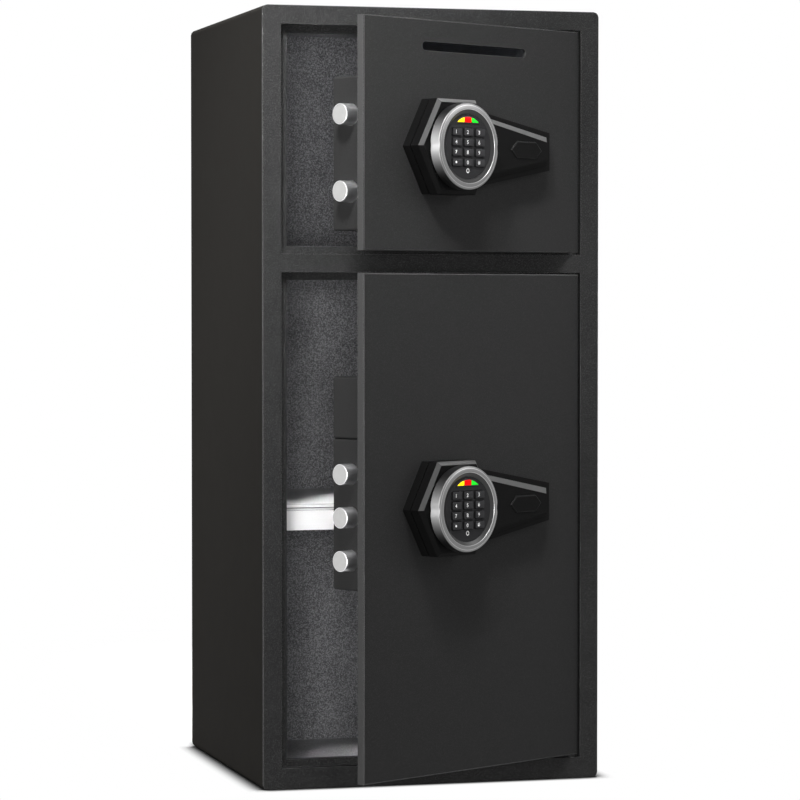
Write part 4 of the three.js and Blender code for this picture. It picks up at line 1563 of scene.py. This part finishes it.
@dataclass
class Studio:
    """A pale floor, soft lamps and the camera at the photograph's angle."""

    focal_pixels: float = 3322.8
    image_pixels: float = 800.0
    sensor_mm: float = 36.0
    sight: float = 100.0
    eye: Point = (-1.1883, -4.3305, 0.6281)
    yaw: float = 15.55
    pitch: float = 1.76
    ambient: float = 0.03
    floor_half: float = 14.0
    floor_seen: Colour = grey(0.93)
    floor_bounce: Colour = grey(0.25)
    painted_contact_shadow: Colour = grey(0.03)
    floor_roughness: float = 0.9
    cloud: float = 0.3
    cloud_share: float = 0.04
    contact_size: float = 0.1
    contact_samples: int = 16
    contact_open: Pair = (0.5, 0.95)
    foot: Pair = (0.225, 0.218)
    side_reach: float = 0.026
    side_blur: float = 0.03
    blur_growth: float = 0.15
    back_reach: Pair = (0.2, 1.6)
    front_reach: Pair = (0.0, 0.02)
    lamps: tuple[SoftBox, ...] = (
        SoftBox("camera_light", (-1.25, -4.2, 0.6), (-0.1, -0.2, 0.6), 0.7, 62.0),
        SoftBox("corner_light", (-0.9, -1.7, 2.5), (-0.33, -0.25, 1.07), 0.5, 6.0, 27.0),
        SoftBox("left_light", (-2.3, -1.8, 0.4), (0.0, -0.33, 0.4), 0.7, 50.0),
        SoftBox("right_light", (2.6, -1.25, 1.9), (0.0, -0.3, 0.6), 1.2, 19.0),
        SoftBox("high_light", (-0.2, -2.3, 4.4), (0.0, 0.0, 0.3), 0.8, 165.0),
        SoftBox("back_light", (2.3, 2.6, 0.8), (0.1, 0.1, 0.55), 1.0, 65.0),
    )

    def build(self) -> None:
        """Sets the stage."""
        self.camera()
        self.floor()
        self.world()
        for lamp in self.lamps:
            lamp.build()
        bpy.context.scene.view_settings.view_transform = "Standard"

    def camera(self) -> None:
        """Places the camera."""
        data = bpy.data.cameras.new("camera")
        data.sensor_width = self.sensor_mm
        data.lens = self.focal_pixels / self.image_pixels * self.sensor_mm
        data.clip_end = self.sight
        camera = linked("camera", data)
        camera.location = self.eye
        camera.rotation_euler = Euler((math.radians(90 - self.pitch), 0, math.radians(-self.yaw)))
        bpy.context.scene.camera = camera

    def floor(self) -> None:
        """Lays the floor, which keeps the shadow near the safe, darkens its colour by ambient occlusion as a
        painted contact shadow, and turns white further off.
        """
        half = self.floor_half
        mesh = bpy.data.meshes.new("floor")
        mesh.from_pydata([(-half, -half, 0), (half, -half, 0), (half, half, 0), (-half, half, 0)], [],
                         [(0, 1, 2, 3)])
        shader = Shader(bpy.data.materials.new("pale_floor"))
        where = shader.place()
        seen = self.seen(shader)
        # Ambient occlusion darkens the floor's colour at the safe's foot: a painted contact shadow.
        near = shader.node("AmbientOcclusion", {"samples": self.contact_samples}, Distance=self.contact_size)
        bare = shader.ramp(shader.wire(near, "AO"), *self.contact_open)
        pale = shader.blend(bare, self.painted_contact_shadow, self.floor_seen)
        cloud = shader.noise(where, self.cloud) * self.cloud_share
        cloth = shader.node("BsdfPrincipled", None, Roughness=self.floor_roughness, Specular_IOR_Level=0.0,
                            Base_Color=shader.blend(seen - cloud, self.floor_bounce, pale))
        white = shader.node("Emission", None, Color=(1, 1, 1, 1), Strength=1.0)
        mixed = shader.node("MixShader", None, Fac=(1.0 - self.shadow(shader, where)) * seen)
        for socket, surface in zip(mixed.inputs[1:], (cloth, white)):
            shader.feed(socket, surface.outputs[0])
        shader.close(mixed)
        mesh.materials.append(shader.owner)
        linked("floor", mesh)

    def shadow(self, shader: Shader, where: Wire) -> Wire:
        """Gives 1 where the floor keeps its shadow, and 0 where it is white.

        Args:
            shader: Adds the nodes.
            where: The floor's own coordinates.

        Returns:
            The share, which fades beside, behind and before the safe.
        """
        sides = shader.node("SeparateXYZ", None, Vector=where)
        across = shader.wire(sides, "X")
        across = across.math("ABSOLUTE", across) - self.foot[0]
        along = shader.wire(sides, "Y")
        behind = along - self.foot[1]
        blur = across.math("MAXIMUM", behind) * self.blur_growth + self.side_blur
        beside = across.math("DIVIDE", across - self.side_reach, blur)
        kept = 1.0 - shader.ramp(beside, -1.0, 0.0)
        kept = kept * (1.0 - shader.ramp(behind, *self.back_reach))
        return kept * (1.0 - shader.ramp(along * -1.0 - self.foot[1], *self.front_reach))

    def seen(self, shader: Shader) -> Wire:
        """Gives 1 for what is seen straight, mirrored or through glass, and 0 for stray light.

        Args:
            shader: Adds the nodes.

        Returns:
            The share.
        """
        path = shader.node("LightPath")
        straight, mirrored, through = (
            shader.wire(path, f"Is {kind} Ray") for kind in ("Camera", "Glossy", "Transmission"))
        return straight.math("MAXIMUM", straight, mirrored.math("MAXIMUM", mirrored, through))

    def world(self) -> None:
        """Lights faintly from all round, and shows white to the camera and in reflections."""
        world = bpy.data.worlds.new("studio")
        bpy.context.scene.world = world
        shader = Shader(world)
        strength = self.seen(shader) * (1.0 - self.ambient) + self.ambient
        shader.close(shader.node("Background", None, Color=(1, 1, 1, 1), Strength=strength), "OutputWorld")


def main() -> None:
    """Builds the whole scene."""
    logging.basicConfig(level=logging.INFO, format="%(message)s")
    Studio().build()
    Cabinet().build()
    scatter = Scatter("screw_heads", ZINC)
    sweep = Sweep("ring_sweep", SATIN)
    for leaf, bolts in ((Leaf.UPPER, 2), (Leaf.LOWER, 3)):
        lock = LockFrame.of(leaf)
        DoorLeaf(lock).build(scatter)
        LockHousing(lock).build()
        BoltWork(lock).build(bolts)
        Knob(lock).build(sweep)


if __name__ == "__main__":
    main()
